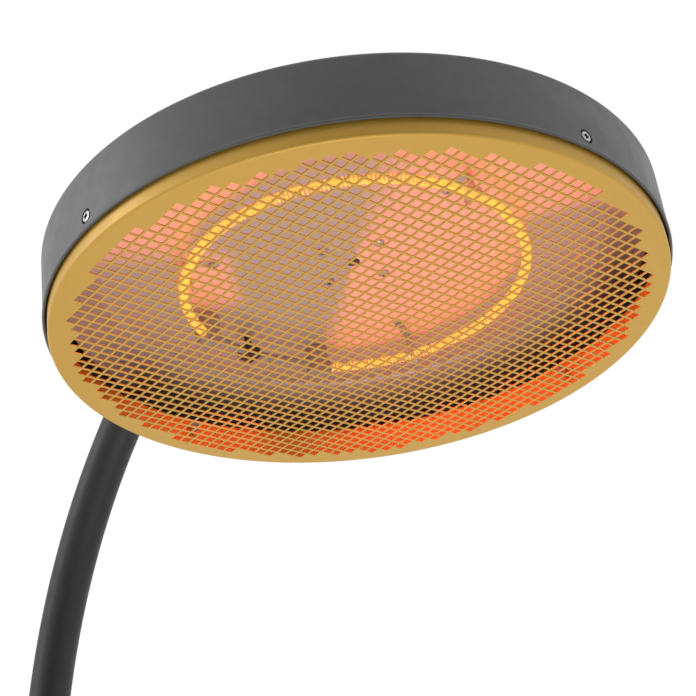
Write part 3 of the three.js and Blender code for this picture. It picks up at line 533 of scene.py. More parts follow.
stainless = spun_metal("stainless_steel", (0.56, 0.56, 0.56), 0.3, 0.08, 3000)
zinc = plated_metal("zinc_steel", (0.55, 0.56, 0.57), 0.32)
dark_steel = plated_metal("dark_screw", (0.46, 0.46, 0.47), 0.3)
spring_steel = plated_metal("spring_steel", (0.66, 0.64, 0.62), 0.45)
# Painted shade: near-black paint for the faces inside the screws' drive recesses.
painted_recess_shade = plated_metal("dark_screw", (0.04, 0.04, 0.04), 0.6)
painted_recess_shade.name = "recess_painted_shade"
print("metals:", stainless.name, zinc.name, dark_steel.name, spring_steel.name, painted_recess_shade.name)

# %% [markdown]
# The lit reflector isn't evenly bright. The lamp's glow lies on the spun sheet in two fans with fairly
# sharp sides, and the flared rim at the back goes dark because it mirrors the inside of the shell. Both are
# painted into the finish: ramps that go round the dish set the sides of the fans and the ends of the dark
# part, and ramps from the middle out to the rim set how far each of them reaches.


# %% Ramps and sums
def between(material, value, steps):
    """A grey ramp: steps are (position, grey) pairs over a range of zero to one."""
    node = add_node(material, "ShaderNodeValToRGB", Fac=value)
    elements = node.color_ramp.elements
    elements.remove(elements[1])
    elements[0].position = steps[0][0]
    elements[0].color = (*[steps[0][1]] * 3, 1)
    for position, grey in steps[1:]:
        elements.new(position).color = (grey, grey, grey, 1)
    return node.outputs["Color"]


def math_node(material, operation, first, second):
    """One sum on two values or outputs."""
    node = material.node_tree.nodes.new("ShaderNodeMath")
    node.operation = operation
    for index, value in enumerate((first, second)):
        if isinstance(value, bpy.types.NodeSocket):
            material.node_tree.links.new(value, node.inputs[index])
        else:
            node.inputs[index].default_value = value
    return node.outputs[0]


print("a ramp is a list of (position, grey) steps")

# %% Reflector finish
DISH_GREY = (0.585, 0.535, 0.50)
# Painted reflection: this dark tone on the rim stands in for the dark inside of the shell mirrored by the
# sheet.
DISH_PAINTED_DARK_REFLECTION = (0.012, 0.007, 0.005)
DISH_REACH = 0.26
# Painted reflection: the red fans stand in for the lamp's glow mirrored by the sheet, painted on as
# emission.
PAINTED_FAN_GLOW = (1.0, 0.13, 0.03)
PAINTED_FAN_STRENGTH = 0.62
PAINTED_DARK_FROM_MIDDLE = ((0.76, 0.0), (0.84, 0.4), (0.89, 0.85), (0.93, 1.0))
PAINTED_DARK_ROUND = ((0.02, 0.0), (0.1, 0.35), (0.16, 1.0), (0.55, 1.0), (0.6, 0.35), (0.68, 0.0))
# These ramps set the sides and reach of the painted glow fans.
INSIDE_ROUND = ((0.0, 1.0), (0.395, 1.0), (0.43, 0.0), (0.9, 0.0), (0.97, 1.0))
SIDE_ROUND = ((0.56, 0.0), (0.6, 1.0), (0.66, 1.0), (0.7, 0.0))
SIDE_FROM_MIDDLE = ((0.36, 0.0), (0.42, 1.0))
OUTSIDE_ROUND = (
    (0.0, 1.0),
    (0.085, 1.0),
    (0.105, 0.0),
    (0.66, 0.0),
    (0.7, 1.0),
    (0.8, 1.0),
    (0.84, 0.25),
    (0.9, 0.25),
    (0.94, 1.0),
)
PAST_LAMP = ((0.53, 0.0), (0.57, 1.0))


def reflector_with_painted_glow():
    """Spun aluminium with a painted dark reflection on its flared rim and two fans of painted red glow."""
    material = spun_metal("reflector_aluminium", DISH_GREY, 0.4, 0.06, 1800)
    material.node_tree.nodes["Principled BSDF"].inputs["Metallic"].default_value = 0.45
    split = add_node(material, "ShaderNodeSeparateXYZ", Vector=coordinates(material, "UV"))
    around = split.outputs["X"]
    reach = math_node(material, "DIVIDE", split.outputs["Y"], DISH_REACH)
    # Painted dark reflection on the flared rim.
    dark = between(material, reach, PAINTED_DARK_FROM_MIDDLE)
    dark = math_node(material, "MULTIPLY", dark, between(material, around, PAINTED_DARK_ROUND))
    plug(material, blend_colors(material, dark, DISH_GREY, DISH_PAINTED_DARK_REFLECTION), "Base Color")
    # Painted glow fans, given as emission on a part that is no lamp.
    side = between(material, around, SIDE_ROUND)
    side = math_node(material, "MULTIPLY", side, between(material, reach, SIDE_FROM_MIDDLE))
    inside = math_node(material, "MAXIMUM", between(material, around, INSIDE_ROUND), side)
    fan = add_node(material, "ShaderNodeMapRange", Value=between(material, reach, PAST_LAMP))
    material.node_tree.links.new(inside, fan.inputs["To Min"])
    material.node_tree.links.new(between(material, around, OUTSIDE_ROUND), fan.inputs["To Max"])
    lit = math_node(material, "SUBTRACT", 1.0, dark)
    strength = math_node(material, "MULTIPLY", fan.outputs["Result"], lit)
    strength = math_node(material, "MULTIPLY", strength, PAINTED_FAN_STRENGTH)
    plug(material, strength, "Emission Strength")
    bsdf = material.node_tree.nodes["Principled BSDF"]
    bsdf.inputs["Emission Color"].default_value = (*PAINTED_FAN_GLOW, 1)
    return material


reflector_metal = reflector_with_painted_glow()
print("reflector finish:", len(reflector_metal.node_tree.nodes), "nodes")

# %% [markdown]
# ### Lamp, ceramic, rubber and the rest
#
# The glowing coil is so bright that the eye sees yellow where the light itself is orange-red. The coil's
# finish therefore gives yellow, and the red that falls on its surroundings is made apart from it, later on.
# The quartz tube is nearly clear with an amber tint, and is made see-through by its alpha, which lets the
# coil light the reflector through it. Ceramic, rubber, nylon and the glass-fibre sleeves are all matte.


# %% Coil and quartz
GLOW = (1.0, 0.52, 0.06)
GLOW_STRENGTH = 1.5


def glowing_coil():
    """A coil that gives its own light, a little brighter in some turns than in others."""
    material = shader("lamp_filament", (0.8, 0.35, 0.08), 0.6, Emission_Strength=GLOW_STRENGTH)
    factor = ramp(material, noise(material, 160, 2.0), 0.0, 1.0)
    warm = blend_colors(material, factor, [c * 0.72 for c in GLOW], GLOW)
    plug(material, warm, "Emission Color")
    return material


def quartz_tube():
    """Thin clear quartz with an amber tint."""
    amber = (0.9, 0.55, 0.2)
    material = shader("lamp_glass", amber, 0.06, Alpha=0.16, Coat_Weight=1.0, Coat_Roughness=0.03)
    rough_between(material, 0.04, 0.12, 220)
    return material


coil_glow = glowing_coil()
quartz = quartz_tube()
print("lamp finishes:", coil_glow.name, quartz.name)


# %% Insulators
def matte(name, color, roughness, grain, depth, tone=0.1):
    """A matte solid such as ceramic, rubber or nylon."""
    material = shader(name, color, roughness)
    mottled(material, [c * (1 - tone) for c in color], [c * (1 + tone) for c in color], grain / 6)
    rough_between(material, roughness - 0.08, roughness + 0.08, grain / 3)
    bumped(material, noise(material, grain, 3.0), 0.3, depth)
    return material


def braided(name, color, turns, spacing):
    """A woven sleeve: two sets of bands that cross round the tube."""
    material = shader(name, color, 0.85)
    uv = coordinates(material, "UV")
    heights = []
    for slant in (1, -1):
        slanted = add_node(material, "ShaderNodeMapping", Vector=uv, Scale=(slant * turns, spacing, 1.0))
        wave = add_node(material, "ShaderNodeTexWave", Vector=slanted.outputs["Vector"], Scale=1.0)
        wave.bands_direction = "DIAGONAL"
        heights.append(wave.outputs["Fac"])
    woven = math_node(material, "MAXIMUM", *heights)
    tone = blend_colors(material, woven, [c * 0.55 for c in color], color)
    plug(material, tone, "Base Color")
    bumped(material, woven, 0.5, 0.2 * MM)
    return material


ceramic = matte("ceramic", (0.34, 0.31, 0.29), 0.45, 1500, 0.1 * MM)
dark_ceramic = matte("ceramic", (0.012, 0.011, 0.011), 0.4, 1500, 0.1 * MM)
dark_ceramic.name = "ceramic_dark"
rubber = matte("rubber_black", (0.02, 0.02, 0.02), 0.8, 1100, 0.2 * MM)
nylon = matte("black_nylon", (0.028, 0.028, 0.03), 0.5, 1400, 0.08 * MM)
fibre = braided("glass_fibre", (0.36, 0.38, 0.40), 24.0, 500.0)
print("finishes:", len(bpy.data.materials))

# %% [markdown]
# ## The head's shell
#
# The shell is a shallow drum pressed from steel sheet: a flat top, a tight round edge and an upright wall
# that ends in a small rolled hem. Spinning its section is the plain way to make it. The four screws that
# hold the grille sit in dimples in the wall, so four cones are cut out for them.

# %% Section of the shell
HEAD_RADIUS = 265 * MM
GRILLE_DROP = 12.5 * MM
SHELL_HEIGHT = 60 * MM
SHELL_WALL = 1.5 * MM
SHELL_EDGE = 5 * MM
HEM_WIDTH = 2.6 * MM
HEM_HEIGHT = 3 * MM
HEM_STEP = 0.5 * MM
SHELL_TOP = GRILLE_DROP + SHELL_HEIGHT


def shell_outline():
    """The section of the drum, from the middle of its top down to the hem and back up inside."""
    outer = HEAD_RADIUS
    inner = outer - SHELL_WALL
    inner_edge = SHELL_EDGE - SHELL_WALL
    hem = HEM_WIDTH / 2
    hem_middle = GRILLE_DROP + hem
    points = [(0, SHELL_TOP - SHELL_WALL), (0, SHELL_TOP), (outer - SHELL_EDGE * 6, SHELL_TOP)]
    points += arc(outer - SHELL_EDGE, SHELL_TOP - SHELL_EDGE, SHELL_EDGE, 90, 0, 10)
    points += [(outer - HEM_STEP, GRILLE_DROP + HEM_HEIGHT + 0.6 * MM)]
    points += [(outer - HEM_STEP, GRILLE_DROP + HEM_HEIGHT - 0.2 * MM)]
    points += arc(outer - hem, hem_middle, hem, 35, -215, 12)
    points += [(inner, GRILLE_DROP + HEM_HEIGHT)]
    points += arc(inner - inner_edge, SHELL_TOP - SHELL_WALL - inner_edge, inner_edge, 0, 90, 6)
    return points


print("points in the shell's section:", len(shell_outline()))

# %% Shell with its dimples
SCREW_HEIGHT = GRILLE_DROP + 11.5 * MM
SCREW_TURNS = (0, 90, 180, 270)
DIMPLE = 6.1 * MM


def round_tool(radius_low, radius_high, low, high, place, sides=32):
    """A closed cone or cylinder to cut with, along the place's Z."""
    tool = bmesh.new()
    turn(tool, [(0, low), (radius_low, low), (radius_high, high), (0, high)], sides, place)
    bmesh.ops.remove_doubles(tool, verts=tool.verts, dist=1e-7)
    return tool


def side_place(turn_degrees):
    """A place on the wall, with Z pointing straight out of it."""
    around = Matrix.Rotation(math.radians(turn_degrees), 4, "Z")
    outwards = Matrix.Rotation(math.radians(90), 4, "Y")
    return around @ Matrix.Translation((HEAD_RADIUS, 0, SCREW_HEIGHT)) @ outwards


def dimple(turn_degrees):
    """The tool for one dimple, a very slightly open cone."""
    return round_tool(DIMPLE, DIMPLE + 0.1 * MM, -3 * MM, 0.6 * MM, side_place(turn_degrees))


shell = turned(shell_outline(), 240, "head_shell_skin", powder, "head", "head_shell")
carve(shell, [dimple(angle) for angle in SCREW_TURNS])
shell.data.transform(HEAD)
print("shell:", len(shell.data.polygons), "faces")

# %% [markdown]
# ## The perforated grille
#
# The grille is one gold sheet punched with 8 mm square holes every 10 mm and pressed into a shallow pan.
# Only whole holes are punched, so the open field ends in steps, and a plain border is left round it.
# Cutting eighteen hundred holes with booleans would be slow and untidy. The sheet is laid out as a grid of
# bars instead: a face where there is metal and none where there is a hole. A triangulation joins the
# stepped field to the round border, every open edge gets a wall of the sheet's thickness, and the bent rim
# and skirt are spun round the same circle of points.

# %% Sheet layout
PITCH = 10 * MM
HOLE = 8 * MM
FIELD_RADIUS = 247 * MM


def kept_cells():
    """The cells of the grid whose hole lies wholly inside the field."""
    reach = int(FIELD_RADIUS / PITCH) + 1
    cells = []
    for i in range(-reach, reach + 1):
        for j in range(-reach, reach + 1):
            corner = math.hypot(abs(i * PITCH) + HOLE / 2, abs(j * PITCH) + HOLE / 2)
            if corner <= FIELD_RADIUS:
                cells.append((i, j))
    return set(cells)


def grid_line(k):
    """Line 2i is the low side of hole i, and line 2i + 1 is its high side."""
    side = HOLE / 2 if k % 2 else -HOLE / 2
    return (k // 2) * PITCH + side


def grid_faces(cells):
    """The bars as squares of the grid: those round a kept hole, with the holes left out."""
    squares = set()
    for i, j in cells:
        for di in (-1, 0, 1):
            for dj in (-1, 0, 1):
                if di or dj:
                    squares.add((2 * i + di, 2 * j + dj))
    return {s for s in squares if s[0] % 2 or s[1] % 2 or (s[0] // 2, s[1] // 2) not in cells}


cells = kept_cells()
bars = grid_faces(cells)
print("holes:", len(cells), "bar squares:", len(bars))

# %% Flat sheet
PAN_RADIUS = 261 * MM
PAN_EDGE = 2.5 * MM
PAN_SIDES = 240
FLAT_RADIUS = PAN_RADIUS - PAN_EDGE - 1.5 * MM


def sheet_faces(cells, bars):
    """Points in the plane and the faces between them, for the whole flat part of the grille."""
    points, index = [], {}

    def point(key, x, y):
        if key not in index:
            index[key] = len(points)
            points.append(Vector((x, y)))
        return index[key]

    def corners(square):
        a, b = square
        around = ((a, b), (a + 1, b), (a + 1, b + 1), (a, b + 1))
        return [point(c, grid_line(c[0]), grid_line(c[1])) for c in around]

    faces = [corners(square) for square in sorted(bars)]
    sides = {}
    for square in sorted(bars | {(2 * i, 2 * j) for i, j in cells}):
        loop = corners(square)
        for a, b in zip(loop, loop[1:] + loop[:1]):
            key = (min(a, b), max(a, b))
            sides[key] = sides.get(key, 0) + 1
    steps = [key for key, count in sides.items() if count == 1]
    rim = []
    for i in range(PAN_SIDES):
        a = 2 * math.pi * i / PAN_SIDES
        rim.append(point(("rim", i), FLAT_RADIUS * math.cos(a), FLAT_RADIUS * math.sin(a)))
    ring_edges = [(rim[i], rim[(i + 1) % PAN_SIDES]) for i in range(PAN_SIDES)]
    used = sorted({v for edge in steps + ring_edges for v in edge})
    local = {v: i for i, v in enumerate(used)}
    edges = [(local[a], local[b]) for a, b in steps + ring_edges]
    found = geometry.delaunay_2d_cdt([points[v] for v in used], edges, [], 0, 1e-9)
    field = bars | {(2 * i, 2 * j) for i, j in cells}
    spots = found[0]
    for triangle in found[2]:
        middle = sum((spots[v] for v in triangle), Vector((0, 0))) / len(triangle)
        if not in_field(middle, field) and middle.length < FLAT_RADIUS:
            faces.append([used[found[3][v][0]] for v in triangle])
    return points, faces


def line_below(value):
    """The number of the last grid line at or below a distance."""
    k = 2 * math.floor((value + HOLE / 2) / PITCH)
    return k + 1 if value > grid_line(k + 1) else k


def in_field(spot, field):
    """Whether a point in the plane is over a bar or a kept hole."""
    return (line_below(spot.x), line_below(spot.y)) in field


points, faces = sheet_faces(cells, bars)
print("flat sheet:", len(points), "points and", len(faces), "faces")

# %% Walls and rim
SHEET = 0.9 * MM
PAN_SKIRT = 36 * MM
NO_AREA = 1e-12


def rim_outline():
    """The open section of the bent rim and skirt, from the flat face round to the flat's upper side."""
    inner = PAN_RADIUS - SHEET
    points = [(FLAT_RADIUS, 0)]
    points += arc(PAN_RADIUS - PAN_EDGE, PAN_EDGE, PAN_EDGE, -90, 0, 8)
    points += [(PAN_RADIUS, PAN_SKIRT), (inner, PAN_SKIRT)]
    points += arc(inner - 1 * MM, SHEET + 1 * MM, 1 * MM, 0, -90, 5)
    points += [(FLAT_RADIUS, SHEET)]
    return points


def punched_grille(bm, points, faces):
    """The whole grille as one closed mesh."""
    low = [bm.verts.new((p.x, p.y, 0)) for p in points]
    high = [bm.verts.new((p.x, p.y, SHEET)) for p in points]
    count = {}
    for face in faces:
        if geometry.area_tri(*[points[v].to_3d() for v in face[:3]]) < NO_AREA:
            continue
        bm.faces.new([low[v] for v in reversed(face)])
        bm.faces.new([high[v] for v in face])
        for a, b in zip(face, face[1:] + face[:1]):
            key = (min(a, b), max(a, b))
            count[key] = count.get(key, 0) + 1
    on_rim = {v for v in range(len(points)) if abs(points[v].length - FLAT_RADIUS) < 1e-7}
    for (a, b), uses in count.items():
        if uses == 1 and not (a in on_rim and b in on_rim):
            bm.faces.new((low[a], low[b], high[b], high[a]))
    outline = rim_outline()
    rows = []
    for i in range(PAN_SIDES):
        angle = 2 * math.pi * i / PAN_SIDES
        rows.append([Vector((r * math.cos(angle), r * math.sin(angle), z)) for r, z in outline])
    skin(bm, rows, True, False)


work = bmesh.new()
punched_grille(work, points, faces)
grille = finished(work, "punched_grille", gold, "head", ["grille"], HEAD)
whole = bmesh.new()
whole.from_mesh(grille.data)
open_edges = sum(len(edge.link_faces) != 2 for edge in whole.edges)
whole.free()
print("grille:", len(grille.data.polygons), "faces, open edges", open_edges)

# %% [markdown]
# ## Reflector and what lies over it
#
# Above the lamp hangs a spun aluminium dish: a flat middle with a flared rim and a soft corner between
# them. The disc of ceramic fibre over it can only be seen through the gap at the rim, but it closes the view
# into the shell, so it is made too.

# %% Reflector
REFLECTOR_UNDER = 68.0 * MM
REFLECTOR_TOP = 69.0 * MM
REFLECTOR_FLAT = 222 * MM
REFLECTOR_RIM = 247 * MM
REFLECTOR_LOW = REFLECTOR_UNDER - 32 * MM
REFLECTOR_CORNER = 9 * MM
BORE = 6 * MM


def dish_side(level, shift):
    """One side of the dish's sheet, from the middle out to the rim. shift moves the flare outwards."""
    corner = REFLECTOR_FLAT + shift - REFLECTOR_CORNER
    points = [(BORE, level), (REFLECTOR_FLAT / 2, level)]
    points += arc(corner, level - REFLECTOR_CORNER, REFLECTOR_CORNER, 90, 28, 8)
    points += [(REFLECTOR_RIM + shift - 0.6 * MM, REFLECTOR_LOW + 2.5 * MM)]
    points += [(REFLECTOR_RIM + shift, REFLECTOR_LOW)]
    return points


dish = dish_side(REFLECTOR_UNDER, 0) + list(reversed(dish_side(REFLECTOR_TOP, 0.9 * MM)))
reflector = turned(dish, 192, "spun_reflector", reflector_metal, "head", "reflector", HEAD, 30)
print("reflector:", len(reflector.data.polygons), "faces")

# %% Insulation
BOARD_RADIUS = 218 * MM
BOARD_LOW = REFLECTOR_TOP + 0.3 * MM
BOARD_HIGH = BOARD_LOW + 1.4 * MM

board_finish = matte("glass_fibre", (0.6, 0.57, 0.5), 0.95, 900, 0.4 * MM, 0.15)
board_finish.name = "glass_fibre_board"
outline = [(BORE, BOARD_LOW), (BOARD_RADIUS, BOARD_LOW), (BOARD_RADIUS, BOARD_HIGH), (BORE, BOARD_HIGH)]
turned(outline, 96, "insulation_board", board_finish, "head", "insulation_disc", HEAD)
print("board", round((BOARD_HIGH - BOARD_LOW) / MM, 2), "mm thick")

# %% [markdown]
# ## The ring lamp
#
# The lamp is a quartz tube bent into most of a circle, with a gap at the back for its two ends. Inside it
# runs a fine coil, which is what gives the ring its crinkled look when it glows. The coil is a helix wound
# round the ring's own circle, and a thin wire section is swept along it.

# %% Lamp tube
LAMP_RADIUS = 148 * MM
LAMP_HEIGHT = 46.5 * MM
LAMP_TUBE = 5.5 * MM
LAMP_WALL = 1.0 * MM
LAMP_GAP = 26
LAMP_START = math.radians(180 + LAMP_GAP)
LAMP_END = math.radians(540 - LAMP_GAP)
UP = Vector((0, 0, 1))


def on_lamp(angle):
    """The point, direction and sideways of the lamp's centreline at an angle."""
    out = Vector((math.cos(angle), math.sin(angle), 0))
    return out * LAMP_RADIUS + UP * LAMP_HEIGHT, Vector((-out.y, out.x, 0)), out


def along_lamp(share):
    """The same, at a share of the lamp's length from its first end."""
    return on_lamp(LAMP_START + (LAMP_END - LAMP_START) * share)


def hollow_sweep(bm, stations, radius, bore, sides):
    """A tube along stations, with its ends closed by rings between the two skins."""
    outer = sweep(bm, stations, circle(radius, sides), capped=False)
    inner = sweep(bm, stations, circle(bore, sides), capped=False)
    for end in (0, -1):
        for j in range(sides):
            k = (j + 1) % sides
            bm.faces.new((outer[end][j], outer[end][k], inner[end][k], inner[end][j]))


work = bmesh.new()
hollow_sweep(work, [along_lamp(i / 120) for i in range(121)], LAMP_TUBE, LAMP_TUBE - LAMP_WALL, 20)
lamp = finished(work, "quartz_ring_tube", quartz, "head", ["quartz_ring"], HEAD)
print("lamp tube:", len(lamp.data.polygons), "faces")

# %% Coil
COIL_RADIUS = 3.5 * MM
COIL_WIRE = 0.85 * MM
COIL_PITCH = 3.4 * MM
STEPS_A_TURN = 9


def coil_stations():
    """A helix round the lamp's centreline."""
    steps = LAMP_RADIUS * (LAMP_END - LAMP_START) / COIL_PITCH * STEPS_A_TURN
    centres, points = [], []
    for i in range(int(steps) + 1):
        centre, _, out = along_lamp(i / steps)
        a = 2 * math.pi * i / STEPS_A_TURN
        centres.append(centre)
        points.append(centre + (out * math.cos(a) + UP * math.sin(a)) * COIL_RADIUS)
    stations = []
    for i, (centre, point) in enumerate(zip(centres, points)):
        ahead = (points[min(i + 1, len(points) - 1)] - points[max(i - 1, 0)]).normalized()
        stations.append((point, ahead, (point - centre).cross(ahead).normalized()))
    return stations


work = bmesh.new()
sweep(work, coil_stations(), circle(COIL_WIRE, 5))
coil = finished(work, "glowing_coil", coil_glow, "head", ["filament"], HEAD)
print("coil:", len(coil.data.polygons), "faces")

# %% [markdown]
# The coil's own glow is held down so that it doesn't burn out to white. The light it really throws, which
# is stronger and much redder, comes from a ring of small lights just under the tube. They tilt with the
# head, and they light only the grille and the shell, because the reflector already has the glow painted into
# its finish as a painted reflection. The wall at the back shines most, so the lights are strongest there. A
# round light inside the ring does for the glow that comes back from the dish: it reddens the edges of the
# bars in the middle.

# %% What the heat falls on
HEAT_COLOR = (1.0, 0.07, 0.06)

heated = bpy.data.collections.new("lit_by_heat")
for piece in (grille, shell):
    heated.objects.link(piece)


def heat_lamp(name, kind, watts, place):
    """A red light that rides on the head, is never seen itself and lights only the heated pieces."""
    data = bpy.data.lights.new(name, kind)
    data.color = HEAT_COLOR
    data.energy = watts
    heat = bpy.data.objects.new(name, data)
    heat.matrix_world = place
    heat.visible_camera = False
    heat.visible_glossy = False
    heat.light_linking.receiver_collection = heated
    bpy.context.collection.objects.link(heat)
    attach(heat, "head")
    return data


# %% Heat lights
HEAT_LIGHTS = 16
HEAT_WATTS = 0.8
HEAT_LEAST = 0.4
HEAT_MOST_AT = math.radians(135)
HEAT_SPREAD = math.radians(110)
HEAT_DROP = 0.2
GLOW_WATTS = 0.2

for i in range(HEAT_LIGHTS):
    angle = 2 * math.pi * i / HEAT_LIGHTS
    point, _, out = on_lamp(angle)
    share = HEAT_LEAST + (1 - HEAT_LEAST) * max(0.0, math.cos(angle - HEAT_MOST_AT))
    aim = (HEAD.to_3x3() @ (out - UP * HEAT_DROP)).to_track_quat("-Z", "Y").to_matrix().to_4x4()
    place = Matrix.Translation(HEAD @ (point - UP * LAMP_TUBE)) @ aim
    spot = heat_lamp(f"heat_light_{i}", "SPOT", HEAT_WATTS * share, place)
    spot.spot_size = HEAT_SPREAD
    spot.spot_blend = 0.7
    spot.shadow_soft_size = 3 * MM

under_lamp = HEAD @ Matrix.Translation((0, 0, LAMP_HEIGHT - 2 * LAMP_TUBE))
glow = heat_lamp("glow_in_middle", "AREA", GLOW_WATTS, under_lamp)
glow.shape = "DISK"
glow.size = 2 * LAMP_RADIUS
print("heat lights:", HEAT_LIGHTS, "spots and one round light")

# %% [markdown]
# ## What holds the lamp
#
# Each end of the ring sits in a ceramic holder, and three spring clips carry it in between. A holder is a
# soft-edged block with a raised collar round the lamp. A clip is a strip bent round the tube, with a foot
# screwed to the reflector; each foot is a strip too, so all of it is swept from one flat section.

# %% Holders
HOLDER = 18 * MM
HOLDER_WIDTH = 16 * MM
HOLDER_GRIP = 6 * MM
COLLAR_SPAN = (8.5 * MM, 12 * MM)
HOLDER_TURN = (HOLDER / 2 - HOLDER_GRIP) / LAMP_RADIUS
HOLDER_TOP = REFLECTOR_UNDER - 0.3 * MM
HOLDER_LOW = LAMP_HEIGHT - LAMP_TUBE - 3 * MM


def ring_outline(inner, outer, low, high, soft=0.5 * MM):
    """A closed ring section whose corners are taken off."""
    return [
        (inner, low + soft),
        (inner + soft, low),
        (outer - soft, low),
        (outer, low + soft),
        (outer, high - soft),
        (outer - soft, high),
        (inner + soft, high),
        (inner, high - soft),
    ]


def lamp_place(angle):
    """A place on the lamp's centreline, with X outwards and Y along the lamp."""
    return Matrix.Translation(on_lamp(angle)[0]) @ Matrix.Rotation(angle, 4, "Z")


LAMP_ENDS = (LAMP_START - HOLDER_TURN, LAMP_END + HOLDER_TURN)
for number, (angle, side) in enumerate(zip(LAMP_ENDS, (1, -1)), 1):
    work = bmesh.new()
    place = lamp_place(angle)
    middle = Matrix.Translation((0, 0, (HOLDER_TOP + HOLDER_LOW) / 2 - LAMP_HEIGHT))
    rounded_block(work, (HOLDER_WIDTH, HOLDER, HOLDER_TOP - HOLDER_LOW), place @ middle, 1.5 * MM)
    along = Matrix.Rotation(math.radians(-90 * side), 4, "X")
    turn(work, ring_outline(LAMP_TUBE + 0.4 * MM, LAMP_TUBE + 2.4 * MM, *COLLAR_SPAN), 32, place @ along)
    finished(work, f"lamp_holder_block_{number}", ceramic, "head", [f"lamp_holder_{number}"], HEAD)
print("holder height", round((HOLDER_TOP - HOLDER_LOW) / MM, 1), "mm")

# %% Clips
CLIP_TURNS = (0, 120, 240)
CLIP_SHEET = 1 * MM
CLIP_WIDTH = 8 * MM
CLIP_REACH = 26 * MM


def strip(bm, path, width, thickness, place):
    """A flat strip bent along a path of (x, z) points, as wide as given along Y."""
    stations = []
    for i, (x, z) in enumerate(path):
        before, after = path[max(i - 1, 0)], path[min(i + 1, len(path) - 1)]
        direction = Vector((after[0] - before[0], 0, after[1] - before[1])).normalized()
        stations.append((Vector((x, 0, z)), direction, Vector((0, 1, 0))))
    half = (width / 2, thickness / 2)
    soft = thickness * 0.25
    section = [(half[0] - soft, half[1]), (-half[0] + soft, half[1]), (-half[0], half[1] - soft)]
    section += [(-half[0], -half[1] + soft), (-half[0] + soft, -half[1]), (half[0] - soft, -half[1])]
    section += [(half[0], -half[1] + soft), (half[0], half[1] - soft)]
    sweep(bm, stations, section, place)


def clip_paths():
    """One side of the hoop round the lamp, and the foot from its top inwards along the dish."""
    hoop = LAMP_TUBE + 0.6 * MM + CLIP_SHEET / 2
    foot = HOLDER_TOP - LAMP_HEIGHT - CLIP_SHEET / 2
    path = [(hoop + 1.6 * MM, -hoop * 0.75)] + arc(0, 0, hoop, -20, 92, 12)
    rise = [(0.0, foot - 3 * MM)] + arc(-2.5 * MM, foot - 2.5 * MM, 2.5 * MM, 0, 90, 5)
    return path, [(0.0, hoop)] + rise + [(-CLIP_REACH - 6 * MM, foot)]


for number, angle in enumerate(CLIP_TURNS, 1):
    work = bmesh.new()
    place = lamp_place(math.radians(angle))
    right, foot = clip_paths()
    left = [(-x, z) for x, z in right]
    for path in (right, left, foot):
        strip(work, path, CLIP_WIDTH, CLIP_SHEET, place)
    finished(work, f"spring_clip_{number}", spring_steel, "head", [f"lamp_clip_{number}"], HEAD)
print("clip feet reach", round(CLIP_REACH / MM), "mm inwards to their screws")

# %% [markdown]
# ## Screws
#
# The screws are small, but the eye goes to them on a plain surface, so they get real drives. A head is
# turned once for each kind, a cross or a hexagon is cut into it once, and every copy reuses that mesh.
# The faces in the recess are painted near-black, as painted shade.
# Threads stay inside the metal and aren't made.

# %% Drives
CROSS_TAPER = 0.45


def cross_tools(width, length, depth):
    """Two crossing bars, shorter at the bottom, that cut a cross into a head whose top is at zero."""
    tools = []
    for size in ((length, width), (width, length)):
        tool = bmesh.new()
        bmesh.ops.create_cube(tool, size=1)
        for vert in tool.verts:
            low = vert.co.z < 0
            share = CROSS_TAPER if low else 1.0
            x = vert.co.x * (size[0] * share if size[0] == length else size[0])
            y = vert.co.y * (size[1] * share if size[1] == length else size[1])
            vert.co = Vector((x, y, -depth if low else depth))
        tools.append(tool)
    return tools


def hexagon_tool(across, depth):
    """A hexagonal prism that cuts a socket into a head whose top is at zero."""
    return [round_tool(across / 2, across / 2, -depth, depth, HERE, 6)]


print("a cross is cut with", len(cross_tools(1 * MM, 4 * MM, 1 * MM)), "tools")


# %% Patterns and their copies
def pattern(outline, tools, sides=40, recess=(0, 0)):
    """The mesh of a screw: its outline turned, and its drive cut in. The recess is a radius and a depth."""
    bm = bmesh.new()
    turn(bm, outline, sides)
    bmesh.ops.remove_doubles(bm, verts=bm.verts, dist=1e-7)
    bmesh.ops.recalc_face_normals(bm, faces=bm.faces)
    mesh = bpy.data.meshes.new("pattern")
    bm.to_mesh(mesh)
    bm.free()
    mesh.shade_smooth()
    blank = bpy.data.objects.new("blank", mesh)
    bpy.context.collection.objects.link(blank)
    carve(blank, tools)
    mesh = blank.data
    mesh.materials.clear()
    mesh.materials.append(zinc)
    mesh.materials.append(painted_recess_shade)
    for face in mesh.polygons:
        # Faces inside the drive recess take the near-black painted shade.
        sunk = -recess[1] - 0.1 * MM < face.center.z < -0.3 * MM
        face.material_index = int(sunk and face.center.xy.length < recess[0])
    bpy.data.objects.remove(blank)
    return mesh


def copy_of(mesh, name, material, body, node, place):
    """A copy of a pattern, in place, that stands for one plain solid."""
    fresh = mesh.copy()
    fresh.name = name
    fresh.transform(place)
    fresh.materials[0] = material
    piece = bpy.data.objects.new(name, fresh)
    bpy.context.collection.objects.link(piece)
    settle(piece, body, [node])
    return piece


print("copies share a mesh and a finish, and each stands for one plain solid")


# %% Screw heads
def dome_head(head, height, shank, length):
    """A low round head with its top at zero, on a plain shank."""
    points = [(0, 0)]
    for i in range(1, 9):
        a = math.radians(90 * i / 8)
        points.append((head * (0.35 + 0.65 * math.sin(a)), -height * 0.7 * (1 - math.cos(a))))
    points += [(head, -height + 0.2 * MM), (head - 0.2 * MM, -height), (shank, -height)]
    points += [(shank, -length), (0, -length)]
    return points


